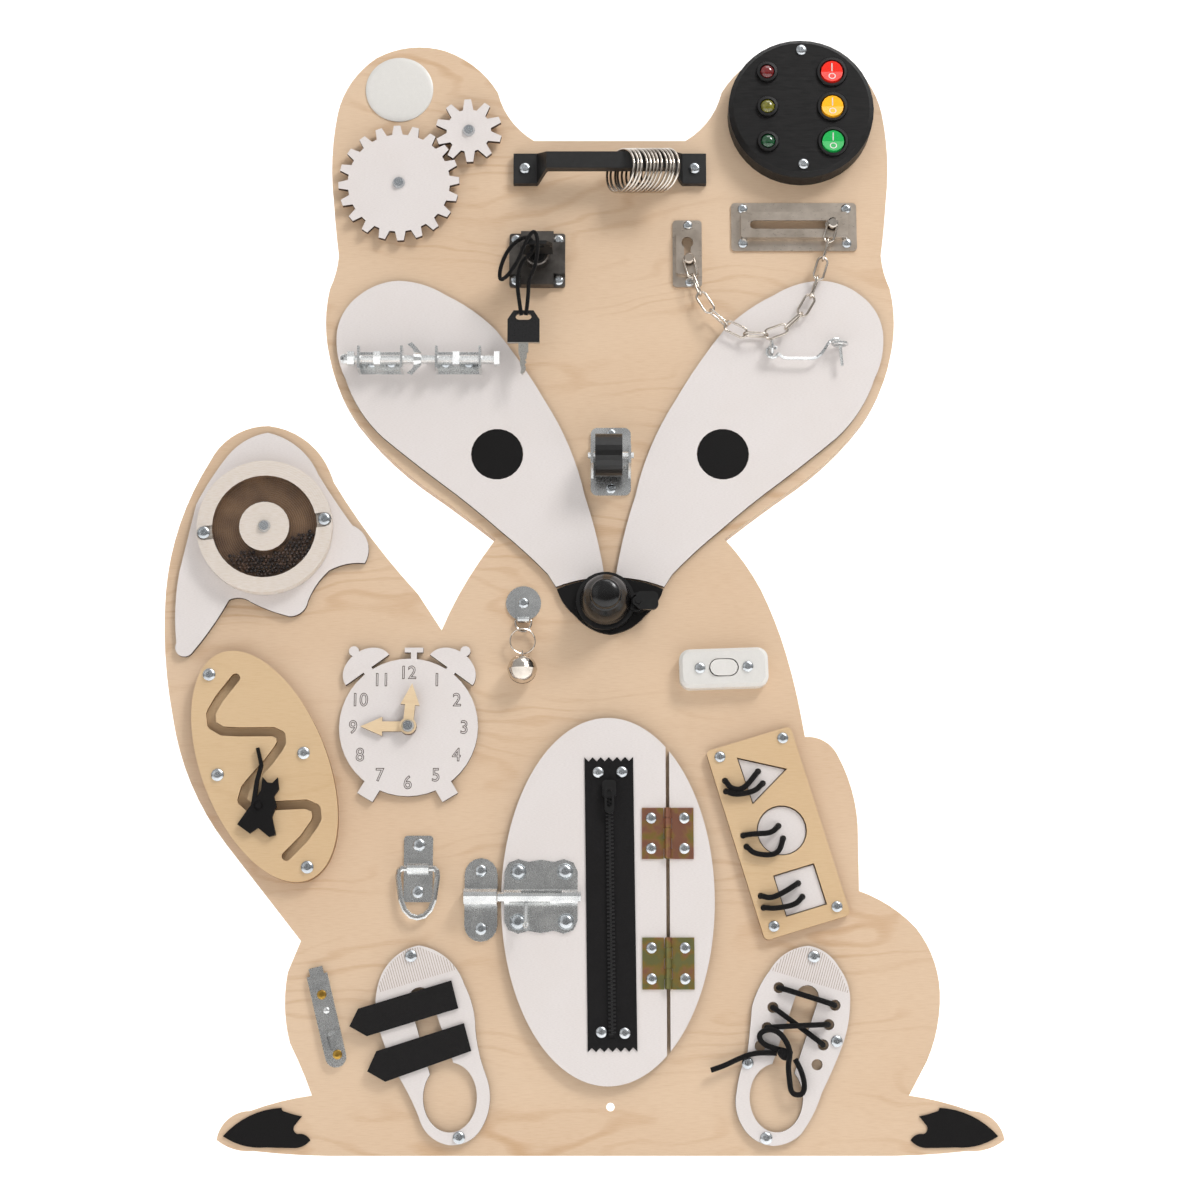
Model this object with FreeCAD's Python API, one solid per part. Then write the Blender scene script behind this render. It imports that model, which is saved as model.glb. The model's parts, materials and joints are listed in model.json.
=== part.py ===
"""A wooden busy board in the shape of a sitting animal, to hang on a wall.

The board is drawn lying on its back: x runs to the right and y runs up to the ears, as
someone in front of the board sees it, and z runs out of the wall towards that person.
The back of the board is z = 0 and the wall screw's hole is the origin. On export every
piece is stood up, so the front faces -Y and the ears point to +Z. All sizes are in mm.
"""

import FreeCAD, Part
import math
import os

V = FreeCAD.Vector

# Driving dimensions of the board and of its glued plates
BOARD_THICK = 15.0
PLATE_THICK = 4.0
BELLY_THICK = 6.0
WALL_HOLE_R = 3.0
RUN_GAP = 0.4
FIT_GAP = 0.15
PIVOT_R = 2.0
PIVOT_HEAD_R = 4.8
PIVOT_HEAD_HIGH = 2.2
PIVOT_DEPTH = 9.0

# Pair of meshing gears
BIG_TEETH = 20
SMALL_TEETH = 10
BIG_GEAR_AT = (-160.7, 690.8)
GEAR_CENTRES = 67.6
GEAR_LINE_DEG = 38.5
BIG_TIP_R = 46.1
BIG_ROOT_R = 38.9
SMALL_TIP_R = 25.4
SMALL_ROOT_R = 17.0
TOOTH_TIP_WIDE = 5.0
TOOTH_ROOT_WIDE = 8.0
GEAR_SPACER_R = 9.0
GEAR_SPACER_THICK = 3.0

# Handle with rings
HANDLE_Y = 702.8
HANDLE_HALF = 64.0
HANDLE_PAD = (19.0, 24.0, 6.0)
HANDLE_BAR_WIDE = 13.0
HANDLE_BAR_THICK = 8.0
HANDLE_REACH = 17.0
HANDLE_STRAIGHT = 47.0
RING_COUNT = 12
RING_R = 16.6
RING_WIRE = 2.0
RING_SPACING = 3.0
RING_FIRST_X = 8.0
RING_TURN_DEG = 40.0

# Box with lamps and rocker switches
BOX_AT = (145.9, 746.8)
BOX_R = 55.4
BOX_THICK = 20.0
BOX_BEVEL = 3.6
LAMP_X = -25.9
ROCKER_X = 23.5
LAMP_SPACING = 28.0
LAMP_BEZEL_R = 8.2
LAMP_LENS_R = 5.4
ROCKER_BEZEL_R = 11.75
ROCKER_R = 8.8
ROCKER_THICK = 6.0
ROCKER_OUT = 3.6

# Drawer lock with its two keys
LOCK_AT = (-55.0, 630.5)
LOCK_SIDE = 42.3
LOCK_THICK = 9.0
LOCK_NOTCH = 9.0
LOCK_EAR_THICK = 3.0
LOCK_SCREW_OFFSET = 16.0
BARREL_R = 9.4
BARREL_OUT = 11.0
PLUG_R = 6.3
BLADE_THICK = 2.2
BLADE_WIDE = 8.0
BLADE_LONG = 24.0
BOW_WIDE = 24.0
BOW_LONG = 23.0
BOW_THICK = 3.0
BOW_HOLE = (12.0, 5.0)
CORD_R = 1.5
SPARE_KEY_AT = (-64.6, 579.5)
SPARE_KEY_OUT = 22.0

# Door chain with its slotted track and keeper
TRACK_AT = (140.1, 657.5)
TRACK_PLATE = (95.4, 38.3, 1.5)
TRACK_BOX = (81.2, 20.4, 7.0)
TRACK_SLOT = (67.5, 6.6)
TRACK_WALL = 1.2
SLIDER_X = 29.0
SLIDER_R = 4.1
NECK_R = 1.9
CHAIN_SPACE = 2.4
KEEPER_AT = (58.8, 636.2)
KEEPER_PLATE = (22.2, 53.2, 1.5)
KEEPER_BOX = (17.2, 35.0, 6.0)
KEEPER_HOLE_R = 4.5
KEEPER_HOLE_Y = 7.4
LINK_LONG = 19.8
LINK_WIDE = 9.6
LINK_WIRE_R = 0.95
LINK_COUNT = 13

# Hook and eyes
EYE_WIRE_R = 1.4
EYE_RING_R = 5.0
EYE_OUT = 11.0
HOOK_EYE_AT = (121.5, 559.0)
CATCH_EYE_AT = (172.5, 562.0)
HOOK_WIRE_R = 1.2

# Threaded rod toy on two U brackets
ROD_AXIS = (548.6, 13.0)
ROD_R = 3.0
ROD_LEFT = -196.0
ROD_RIGHT = -86.5
ROD_HEAD_LONG = 4.0
THREAD_GAP = 0.25
BRACKET_WIDE = 17.0
BRACKET_THICK = 1.8
BRACKET_HIGH = 19.0
BRACKETS = ((-188.5, 33.8), (-130.4, 34.2))
NUT_ACROSS = 10.0
NUT_LONG = 5.0

# Castor on the forehead
CASTOR_AT = (0.6, 473.3)
CASTOR_PLATE = (30.0, 52.0, 2.0)
CASTOR_WHEEL_R = 16.0
CASTOR_WHEEL_WIDE = 20.0
CASTOR_AXLE_OUT = 21.0
CASTOR_AXLE_R = 2.5
CASTOR_WALL = 2.0

# Bicycle bell on the nose
BELL_AT = (-3.4, 366.0)
BELL_BASE_R = 21.8
BELL_BASE_THICK = 5.0
BELL_GONG_R = 18.2
BELL_GONG_HIGH = 20.0
BELL_CAP_R = 11.2
BELL_TOP = 36.0
BELL_WALL = 1.4
BELL_POST_R = 4.0
LEVER_PIVOT = (24.0, -1.5)

# Jingle bell on its hanger
HANGER_AT = (-64.0, 365.4)
HANGER_DISC_R = 13.0
HANGER_DISC_THICK = 1.2
HANGER_TAB = (10.5, 20.0, 1.6)
HANGER_RING_R = 5.6
SPLIT_RING_R = 9.4
HANGER_WIRE_R = 0.8
JINGLE_R = 11.0
JINGLE_WALL = 0.8

# Lamp-cord switch
SWITCH_AT = (83.2, 315.6)
SWITCH_SIZE = (65.0, 29.0, 12.5)
SWITCH_TILT = 1.9
SWITCH_CORNER = 8.0
SWITCH_ROCKER = (21.0, 12.6)

# Spinning drum with beads
DRUM_AT = (-255.5, 421.0)
DRUM_R = 50.0
DRUM_THICK = 10.0
DRUM_BASE = 2.5
DRUM_STANDOFF = 0.6
WINDOW_R = 38.4
WINDOW_THICK = 2.0
HUB_R = 18.5
EAR_REACH = 44.7
EAR_R = 5.2
EAR_TILT = 6.7
BEAD_LINE_TILT = 16.7
BEAD_LINE_DROP = 10.5

# Maze with a captive slider
MAZE_AT = (-251.7, 243.8)
MAZE_HALF = (45.4, 89.8)
MAZE_TILT = 22.6
MAZE_THICK = 9.0
MAZE_FACE = 4.0
MAZE_SLOT_WIDE = 6.8
MAZE_TUNNEL_WIDE = 11.6
CAT_AT = (-254.6, 213.9)
CAT_TRACK_DEG = 2.7
CAT_THICK = 4.0
MAZE_PATH = [(-274.3, 308.2), (-289.0, 288.8), (-293.2, 277.6), (-287.5, 269.6), (-276.0, 268.4),
             (-242.5, 268.6), (-238.2, 263.2), (-244.3, 250.8), (-257.0, 237.7), (-267.6, 223.2),
             (-266.4, 213.4), (-254.6, 213.9), (-216.5, 215.7), (-210.8, 209.0), (-217.0, 195.3),
             (-234.0, 177.8)]

# Clock face and hands
CLOCK_AT = (-147.5, 272.7)
CLOCK_R = 50.8
CLOCK_BELL_HALF = 19.4
CLOCK_BELL_HIGH = 15.0
CLOCK_BELL_DEG = 36.0
CLOCK_BALL_R = 3.8
HAND_THICK = 3.0
HOUR_LONG = 35.0
MINUTE_LONG = 31.5
HAND_WIDE = 7.4
HAND_ARROW_WIDE = 14.0
HAND_ARROW_LONG = 16.0
HAND_HUB_R = 6.2

# Oval belly with its door
BELLY_AT = (-1.75, 146.7)
BELLY_HALF = (77.0, 132.4)
HINGE_X = 41.6
SLIT_WIDE = 2.6
HINGE_ROWS = (194.5, 101.0)
HINGE_LONG = 37.0
HINGE_HALF_WIDE = 18.7
LEAF_THICK = 1.2
KNUCKLE_R = 2.6
KNUCKLES = 5
PIN_R = 1.5
PIN_GAP = 0.1
ZIP_AT = (0.2, 144.3)
ZIP_TAPE = (35.4, 211.7, 0.9)
ZIP_TEETH = (4.6, 186.0, 1.5)
ZIP_TILT = 0.7
ZIP_SLIDER = (10.0, 13.0, 5.2)
ZIP_PULL_LONG = 22.0

# Door bolt and its keeper
BOLT_AT = (-50.0, 149.0)
BOLT_PLATE = (52.8, 53.6, 1.2)
BOLT_AXIS_OUT = 12.4
BOLT_ROD_R = 3.8
BOLT_TUBE_R = 5.5
BOLT_ROD = (-81.2, -21.2)
BOLT_HANDLE_X = -60.5
BOLT_HANDLE_R = 1.6
BOLT_HANDLE_LONG = 22.0
BOLT_HANDLE_RISE = 22.0
BOLT_THROW_IN = 10.0
BOLT_THROW_OUT = 15.0
BOLT_KEEPER = (-93.5, 146.9, 23.8, 60.3, 2.0)
BOLT_KEEPER_WALL = 1.8

# Lashing ring
LASH_AT = (-139.1, 169.3)
LASH_PLATE = (21.0, 48.0, 1.8)
LASH_PIN_R = 2.1
LASH_OUT = 5.6
LASH_RING_WIDE = 28.4
LASH_RING_LONG = 35.5
LASH_BARREL_LONG = 15.5
LASH_BARREL_WALL = 1.6

# Frame of laced shapes
FRAME_AT = (121.4, 195.2)
FRAME_SIZE = (64.6, 143.4)
FRAME_THICK = 6.0
FRAME_TILT = 16.9
FRAME_CORNER = 3.5
SHAPE_GAP = 0.8
SHAPE_CIRCLE_R = 18.2
SHAPE_SQUARE = 31.0
LACE_HOLE_R = 2.4
LACE_R = 2.0
TRIANGLE = [(92.2, 250.0), (128.9, 241.8), (103.4, 215.6)]
CIRCLE_AT = (124.3, 196.8)
SQUARE_AT = (136.9, 153.7)

# Slide latch
LATCH_AT = (-202.4, 60.4)
LATCH_SIZE = (15.0, 67.4, 4.0)
LATCH_TILT = 14.2
LATCH_WALL = 1.2
LATCH_TONGUE = (10.0, 2.0)
LATCH_TONGUE_OUT = 5.5
LATCH_TRAVEL = 8.0

# Shoes with straps and laces
STRAP_THICK = 2.2
STRAPS = (
    [(-114.1, 89.0), (-180.5, 69.0), (-186.5, 56.5), (-174.0, 49.6), (-108.9, 69.3)],
    [(-104.7, 58.8), (-167.0, 39.0), (-173.2, 24.8), (-160.3, 17.6), (-99.3, 39.2)],
)
EYELETS_LEFT = [(120.8, 84.0), (116.3, 70.0), (112.0, 55.7), (106.9, 42.8)]
EYELETS_RIGHT = [(160.8, 71.5), (156.1, 57.8), (151.9, 43.5), (147.3, 29.6)]
EYELET_R = 4.0

FRONT = BOARD_THICK
PLATE_FRONT = FRONT + PLATE_THICK
BELLY_FRONT = FRONT + BELLY_THICK


def moved(shape, x=0.0, y=0.0, z=0.0, turn=0.0):
    """A copy of the shape, turned in the plane of the board about its own origin, then moved."""
    copy = shape.copy()
    copy.rotate(V(0, 0, 0), V(0, 0, 1), turn)
    copy.translate(V(x, y, z))
    return copy


def mirrored(points):
    return [(-x, y) for x, y in points]


def sides_for(radius):
    """How many flat sides a round piece of this radius is given."""
    for limit, sides in ((3.2, 10), (6.2, 12), (13.0, 16), (30.0, 26)):
        if radius < limit:
            return sides
    return 44


def cylinder(radius, length, start=V(0, 0, 0), along=V(0, 0, 1), sides=0):
    """A round bar or a hole's core, made with flat sides so that the many fittings stay light."""
    sides = sides or sides_for(radius)
    corners = [V(radius * math.cos(2 * math.pi * i / sides), radius * math.sin(2 * math.pi * i / sides), 0)
               for i in range(sides)]
    bar = Part.Face(Part.makePolygon(corners + corners[:1])).extrude(V(0, 0, length))
    bar.Placement = FreeCAD.Placement(start, FreeCAD.Rotation(V(0, 0, 1), along))
    return bar


def disc(x, y, z, radius, thick):
    return cylinder(radius, thick, V(x, y, z))


def true_disc(x, y, z, radius, thick):
    """A truly round pin or bore, for the pieces that turn on one."""
    return Part.makeCylinder(radius, thick, V(x, y, z))


def block(width, length, thick, z=0.0):
    """A flat block centred on the origin."""
    return Part.makeBox(width, length, thick, V(-width / 2, -length / 2, z))


def polygon_plate(points, z, thick):
    corners = [V(x, y, z) for x, y in points]
    return Part.Face(Part.makePolygon(corners + corners[:1])).extrude(V(0, 0, thick))


def round_plate(width, length, thick, corner, z=0.0):
    """A flat plate with round corners, centred on the origin."""
    plate = block(width, length, thick, z)
    edges = [e for e in plate.Edges if abs(e.Vertexes[0].Z - e.Vertexes[1].Z) > thick / 2]
    return plate.makeFillet(corner, edges)


def slot_plate(width, length, thick, z=0.0):
    """A plate along y with two full round ends."""
    straight = length - width
    ends = [disc(0, side * straight / 2, z, width / 2, thick) for side in (-1, 1)]
    return block(width, straight, thick, z).fuse(ends[0]).fuse(ends[1]).removeSplitter()


def arcs(points):
    """Edges through the points: an arc over each three in turn, or a line where they are straight."""
    corners = [V(x, y, 0) for x, y in points]
    edges = []
    index = 0
    while index + 2 < len(corners):
        a, b, c = corners[index:index + 3]
        if (b - a).getAngle(c - b) > 0.01:
            edges.append(Part.Arc(a, b, c).toShape())
        else:
            edges.append(Part.makeLine(a, c))
        index += 2
    if index + 1 < len(corners):
        edges.append(Part.makeLine(corners[index], corners[index + 1]))
    return edges


def outline_plate(runs, z, thick):
    """A plate whose outline is a chain of smooth runs that meet at sharp corners."""
    edges = []
    for run in runs:
        edges += arcs(run)
    plate = Part.Face(Part.Wire(Part.__sortEdges__(edges))).extrude(V(0, 0, thick))
    return moved(plate, z=z)


def smooth_plate(points, z, thick):
    """A plate whose outline is one closed chain of arcs."""
    return outline_plate([points + points[:1]], z, thick)


def ellipse_plate(centre, half, z, thick, turn=0.0):
    """An upright oval, its long half along y."""
    oval = Part.Ellipse(V(0, 0, 0), half[1], half[0]).toShape()
    oval.rotate(V(0, 0, 0), V(0, 0, 1), 90)
    plate = Part.Face(Part.Wire([oval])).extrude(V(0, 0, thick))
    return moved(plate, centre[0], centre[1], z, turn)


def turned(profile):
    """A solid turned about z from (radius, height) corners, with flat sides."""
    sides = sides_for(max(radius for radius, height in profile))
    solid = None
    for low, high in zip(profile, profile[1:]):
        if abs(low[1] - high[1]) < 0.001:
            continue
        rings = []
        for radius, height in (low, high):
            radius = max(radius, 0.01)
            corners = [V(radius * math.cos(2 * math.pi * i / sides), radius * math.sin(2 * math.pi * i / sides),
                         height) for i in range(sides)]
            rings.append(corners)
        solid = frustum(rings) if solid is None else solid.fuse(frustum(rings))
    return solid


def frustum(rings):
    """The solid between two rings of corners at two heights."""
    low, high = rings
    count = len(low)
    faces = [Part.Face(Part.makePolygon(low + low[:1])), Part.Face(Part.makePolygon(high + high[:1]))]
    for i in range(count):
        j = (i + 1) % count
        faces.append(Part.Face(Part.makePolygon([low[i], low[j], high[j], high[i], low[i]])))
    solid = Part.Solid(Part.Shell(faces))
    if solid.Volume < 0:
        solid.reverse()
    return solid


def rounded_route(points, steps=3, least=0.0):
    """The points of a route whose corners are replaced by short chords of tangent arcs."""
    route = [V(*points[0])]
    for before, corner, after in zip(points, points[1:], points[2:]):
        a, b, c = V(*before), V(*corner), V(*after)
        into, out = b - a, c - b
        shorter = min(into.Length, out.Length)
        into.normalize()
        out.normalize()
        turn = into.getAngle(out)
        if turn < 0.02:
            route.append(b)
            continue
        radius = 0.45 * shorter / math.tan(turn / 2)
        reach = radius * math.tan(turn / 2)
        start = b - into * reach
        side = (out - into * into.dot(out)).normalize()
        for step in range(steps + 1):
            angle = turn * step / steps
            route.append(start + into * (radius * math.sin(angle)) + side * (radius * (1 - math.cos(angle))))
    route.append(V(*points[-1]))
    return route


def mitred_tube(route, radius, sides=8, closed=False):
    """A solid tube of flat facets along a route, its sections lying in the mitres."""
    route = [V(p) for p in route]
    count = len(route)
    runs = [(route[(i + 1) % count] - route[i]).normalize() for i in range(count if closed else count - 1)]
    first = runs[-1] if closed else runs[0]
    across = first.cross(V(0, 0, 1))
    if across.Length < 0.1:
        across = first.cross(V(1, 0, 0))
    across.normalize()
    up = first.cross(across).normalize()
    section = []
    for side in range(sides):
        angle = 2 * math.pi * (side + 0.5) / sides
        section.append(route[0] + across * (radius * math.cos(angle)) + up * (radius * math.sin(angle)))
    rings = []
    for index in range(count):
        before = runs[index - 1] if closed or index else runs[0]
        after = runs[index] if closed or index < count - 1 else runs[-1]
        normal = (before + after).normalize()
        along = before
        ring = []
        for point in section:
            ring.append(point + along * ((route[index] - point).dot(normal) / along.dot(normal)))
        rings.append(ring)
        section = ring
    faces = []
    for index in range(count if closed else count - 1):
        low, high = rings[index], rings[(index + 1) % count]
        for side in range(sides):
            after = (side + 1) % sides
            corners = [low[side], low[after], high[after], high[side], low[side]]
            faces.append(Part.Face(Part.makePolygon(corners)))
    if not closed:
        faces.append(Part.Face(Part.makePolygon(rings[0] + rings[0][:1])))
        faces.append(Part.Face(Part.makePolygon(rings[-1] + rings[-1][:1])))
    solid = Part.Solid(Part.Shell(faces))
    if solid.Volume < 0:
        solid.reverse()
    return solid


def ring_route(radius, sides, start=0.0):
    return [V(radius * math.cos(start + 2 * math.pi * i / sides),
              radius * math.sin(start + 2 * math.pi * i / sides), 0) for i in range(sides)]


def hexagon(across, thick, bore=0.0):
    """A hexagon nut blank along z."""
    corners = ring_route(across / math.sqrt(3), 6)
    nut = Part.Face(Part.makePolygon(corners + corners[:1])).extrude(V(0, 0, thick))
    if bore:
        nut = nut.cut(cylinder(bore, thick))
    return nut


def pivot_screw(x, y, head_z, radius=PIVOT_R):
    """A round-headed screw that a flat piece turns on; its shank ends in the board."""
    head = turned([(PIVOT_HEAD_R, 0), (PIVOT_HEAD_R * 0.75, PIVOT_HEAD_HIGH)])
    low = FRONT - PIVOT_DEPTH
    return moved(head, x, y, head_z).fuse(true_disc(x, y, low, radius, head_z - low))


def small_gear_at():
    line = math.radians(GEAR_LINE_DEG)
    return (BIG_GEAR_AT[0] + GEAR_CENTRES * math.cos(line), BIG_GEAR_AT[1] + GEAR_CENTRES * math.sin(line))


def pivot_spots():
    return [BIG_GEAR_AT, small_gear_at(), CLOCK_AT, DRUM_AT]


def board_outline():
    """The animal's outline, run by run, clockwise from the top of the head."""
    head = [(58, 727.3), (73.6, 741), (86, 766.4), (104, 787.6), (127.3, 800.8), (154.3, 803.3),
            (179.7, 795), (198.6, 775.4), (208.9, 750), (212.2, 721.6), (210.6, 678), (207.7, 649),
            (205.9, 635), (207.9, 621.4), (212.2, 608.7), (214.7, 581), (211.1, 554), (203, 528.5),
            (189.8, 505), (171.5, 483.5), (140.4, 456), (108.8, 433), (85, 414.5)]
    shoulder = [(85, 414.5), (97.9, 398.5), (111.7, 375.8), (121.8, 351.7), (129.6, 327.7),
                (135.8, 303), (140.6, 277.8), (142.6, 266)]
    arm = [(142.6, 266), (156.5, 263), (166, 253), (175, 231), (180, 192.6), (180, 153.5)]
    haunch = [(180, 153.5), (200.7, 143.4), (220.6, 126.8), (232.3, 105.3), (236.7, 81),
              (234, 55.6), (226.2, 32.3), (212.8, 8)]
    paw = [(212.8, 8), (233.3, 4.2), (256.7, -2.8), (277.6, -15.4), (280, -23), (270, -28.6),
           (253.7, -30.7), (229, -32.9), (200, -34.1)]
    left_haunch = [(-212.8, 8), (-218.9, 23.1), (-229.4, 45), (-233.5, 69.7), (-232, 95.3),
                   (-223.1, 117.5)]
    tail = [(-223.1, 117.5), (-246.2, 146), (-279.2, 187.5), (-306, 232), (-320.7, 280.7),
            (-328.3, 333.7), (-328.9, 374), (-320, 426), (-299, 474), (-281, 494.4),
            (-255.8, 501.3), (-230.8, 492), (-207, 459), (-177, 414.5), (-142.3, 372.8),
            (-124.4, 345.4)]
    shoulder_left = [(-124.4, 345.4), (-110.4, 375), (-96.6, 397.8), (-85, 414.5)]
    return [[(-58, 727.3), (58, 727.3)], head, shoulder, arm, haunch, paw,
            [(200, -34.1), (-200, -34.1)], mirrored(paw), left_haunch, tail, shoulder_left,
            mirrored(head)]


def board():
    plate = outline_plate(board_outline(), 0, BOARD_THICK)
    plate = plate.cut(true_disc(0, 0, 0, WALL_HOLE_R, BOARD_THICK))
    for x, y in pivot_spots():
        plate = plate.cut(true_disc(x, y, FRONT - PIVOT_DEPTH, PIVOT_R, PIVOT_DEPTH))
    return [plate]


CHEEK = [(4, 384.6), (10.2, 416), (18.8, 446.2), (33, 490), (48.4, 519), (67, 549), (86, 575),
         (104, 590.5), (124, 602.5), (144, 611.5), (160, 613.9), (176, 610.5), (190, 602), (201, 589),
         (206, 570), (205, 556), (198.5, 536.5), (187.5, 513), (169.5, 491.2), (149.5, 474.8),
         (126.7, 457), (103, 438.5), (81.5, 420), (60, 401), (46, 387), (40, 377.4)]
TAIL_TIP = [
    [(-255.9, 495.1), (-235.2, 485.4), (-217.5, 462.7), (-206.1, 445), (-191.6, 424.1), (-179.2, 402.6),
     (-181.7, 395.3), (-195.8, 394.5), (-208.1, 389.7), (-215.7, 381), (-223.2, 366.7), (-229.2, 357.2),
     (-236.9, 355.3), (-246.3, 358), (-265.1, 365.9), (-276.1, 369.1), (-281.5, 367.5), (-291.1, 350.9),
     (-307.5, 328), (-314.4, 325.2), (-319.3, 335.1), (-320.9, 360.4), (-318.7, 388.9), (-311.9, 420.9),
     (-307.8, 440.1), (-297.4, 459.5), (-285.4, 477.3), (-270, 490.3)]]
EYE_AT = (84.3, 478.5)
EYE_R = 19.0
EYE_GAP = 0.5
PATCH_THICK = 1.2


def cheek(side):
    points = CHEEK if side > 0 else mirrored(CHEEK)
    lower = [points[-1], (side * 20.5, 383.0), points[0]]
    plate = outline_plate([points, lower], FRONT, PLATE_THICK)
    return plate.cut(disc(side * EYE_AT[0], EYE_AT[1], FRONT, EYE_R + EYE_GAP, PLATE_THICK))


def white_plates():
    tip = smooth_plate(TAIL_TIP[0], FRONT, PLATE_THICK)
    tip = tip.cut(true_disc(*DRUM_AT, FRONT, PIVOT_R, PLATE_THICK))
    return [cheek(-1), cheek(1), tip] + gear_spacers()


def nose():
    top = [(-39.2, 375.6), (-20, 381.8), (0, 383.6), (20, 381.8), (39.2, 375.6)]
    bottom = [(39.2, 375.6), (36, 368), (26, 356.2), (13, 345.6), (0, 341.8),
              (-13, 345.6), (-26, 356.2), (-36, 368), (-39.2, 375.6)]
    return outline_plate([top, bottom], FRONT, PLATE_THICK)


PAW = [
    [(234.2, -0.6), (259.3, -7.5), (275.4, -20.4)],
    [(275.4, -20.4), (265.1, -25.6), (244.5, -28.2), (235.0, -28.5), (225.7, -28.6)],
    [(225.7, -28.6), (216.9, -26.5), (213.2, -23.2), (215.6, -20.4), (222.2, -18.9), (225.2, -16.0),
     (223.8, -11.9), (221.8, -9.2), (219.6, -6.6)],
    [(219.6, -6.6), (227.6, -4.6), (232.6, -3.0), (233.9, -1.9), (234.2, -0.6)]]


def paw(side):
    """A black paw tip whose inner end has two toes and a small point."""
    runs = PAW if side > 0 else [mirrored(run) for run in PAW]
    return outline_plate(runs, FRONT, PATCH_THICK)


def black_patches():
    eyes = [disc(side * EYE_AT[0], EYE_AT[1], FRONT, EYE_R, PLATE_THICK) for side in (-1, 1)]
    return eyes + [nose(), paw(-1), paw(1)]


def gear(teeth, tip_r, root_r, turn_deg):
    """A flat gear of tapered teeth, the first one pointing at turn_deg."""
    points = []
    for index in range(teeth):
        middle = math.radians(turn_deg) + 2 * math.pi * index / teeth
        for radius, width in ((root_r, -TOOTH_ROOT_WIDE), (tip_r, -TOOTH_TIP_WIDE),
                              (tip_r, TOOTH_TIP_WIDE), (root_r, TOOTH_ROOT_WIDE)):
            angle = middle + math.asin(width / 2 / radius)
            points.append((radius * math.cos(angle), radius * math.sin(angle)))
    plate = polygon_plate(points, 0, PLATE_THICK)
    return plate.cut(true_disc(0, 0, 0, PIVOT_R + FIT_GAP, PLATE_THICK))


def gear_level():
    return FRONT + GEAR_SPACER_THICK + RUN_GAP


def gear_large():
    wheel = gear(BIG_TEETH, BIG_TIP_R, BIG_ROOT_R, GEAR_LINE_DEG)
    return [moved(wheel, *BIG_GEAR_AT, gear_level())]


def gear_small():
    half_pitch = 180.0 / SMALL_TEETH
    wheel = gear(SMALL_TEETH, SMALL_TIP_R, SMALL_ROOT_R, GEAR_LINE_DEG + 180 + half_pitch)
    return [moved(wheel, *small_gear_at(), gear_level())]


def spacer(x, y, z, radius, thick, bore):
    return disc(x, y, z, radius, thick).cut(true_disc(x, y, z, bore, thick))


def gear_spacers():
    return [spacer(x, y, FRONT, GEAR_SPACER_R, GEAR_SPACER_THICK, PIVOT_R)
            for x, y in (BIG_GEAR_AT, small_gear_at())]


def pivot_screws():
    heads = gear_level() + PLATE_THICK + RUN_GAP
    screws = [pivot_screw(*BIG_GEAR_AT, heads), pivot_screw(*small_gear_at(), heads)]
    screws.append(pivot_screw(*CLOCK_AT, hand_level(1) + HAND_THICK + RUN_GAP))
    screws.append(pivot_screw(*DRUM_AT, drum_back() + DRUM_THICK + RUN_GAP))
    return screws


def ring_handle():
    """Two screwed pads and a bar that stands off the board between them."""
    pad_w, pad_l, pad_t = HANDLE_PAD
    out = HANDLE_REACH + HANDLE_BAR_THICK
    end = HANDLE_HALF + pad_w / 2
    start = HANDLE_HALF - pad_w / 2
    side = [(-end, 0), (-start, 0), (-HANDLE_STRAIGHT, HANDLE_REACH), (HANDLE_STRAIGHT, HANDLE_REACH),
            (start, 0), (end, 0), (end, pad_t), (start + 1, pad_t),
            (HANDLE_STRAIGHT + 1, out), (-HANDLE_STRAIGHT - 1, out), (-start - 1, pad_t), (-end, pad_t)]
    corners = [V(x, -pad_l / 2, z) for x, z in side]
    body = Part.Face(Part.makePolygon(corners + corners[:1])).extrude(V(0, pad_l, 0))
    neck = [(-end, -pad_l / 2), (-start - 1, -pad_l / 2), (-HANDLE_STRAIGHT - 1, -HANDLE_BAR_WIDE / 2)]
    half = neck + [(-x, y) for x, y in reversed(neck)]
    shape = polygon_plate(half + [(x, -y) for x, y in reversed(half)], 0, out)
    body = body.common(shape)
    return [moved(body, 0, HANDLE_Y, FRONT)]


def rings():
    """Flat wire rings that hang on the handle's bar, all turned the same way."""
    turn = math.radians(RING_TURN_DEG)
    corner = (HANDLE_BAR_THICK / 2 + RING_WIRE / 2 * math.sin(turn)) / math.cos(turn)
    inner = RING_R * math.cos(math.pi / 16) - RING_WIRE / 2
    drop = math.sqrt(inner ** 2 - corner ** 2) - FIT_GAP
    top = HANDLE_Y + HANDLE_BAR_WIDE / 2
    middle = FRONT + HANDLE_REACH + HANDLE_BAR_THICK / 2
    ring = mitred_tube(ring_route(RING_R, 16, math.pi / 16), RING_WIRE / 2, 4, closed=True)
    ring.rotate(V(0, 0, 0), V(0, 1, 0), RING_TURN_DEG - 90)
    return [moved(ring, RING_FIRST_X + index * RING_SPACING, top - drop, middle)
            for index in range(RING_COUNT)]


def lamp_rows():
    return [BOX_AT[1] + LAMP_SPACING * row for row in (1, 0, -1)]


def light_box():
    body = turned([(0, 0), (BOX_R, 0), (BOX_R, BOX_THICK - BOX_BEVEL), (BOX_R - BOX_BEVEL, BOX_THICK),
                   (0, BOX_THICK)])
    body = moved(body, *BOX_AT, FRONT)
    well = ROCKER_THICK + 3.0
    for y in lamp_rows():
        body = body.cut(disc(BOX_AT[0] + ROCKER_X, y, FRONT + BOX_THICK - well, ROCKER_R + RUN_GAP, well))
    return [body]


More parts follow.
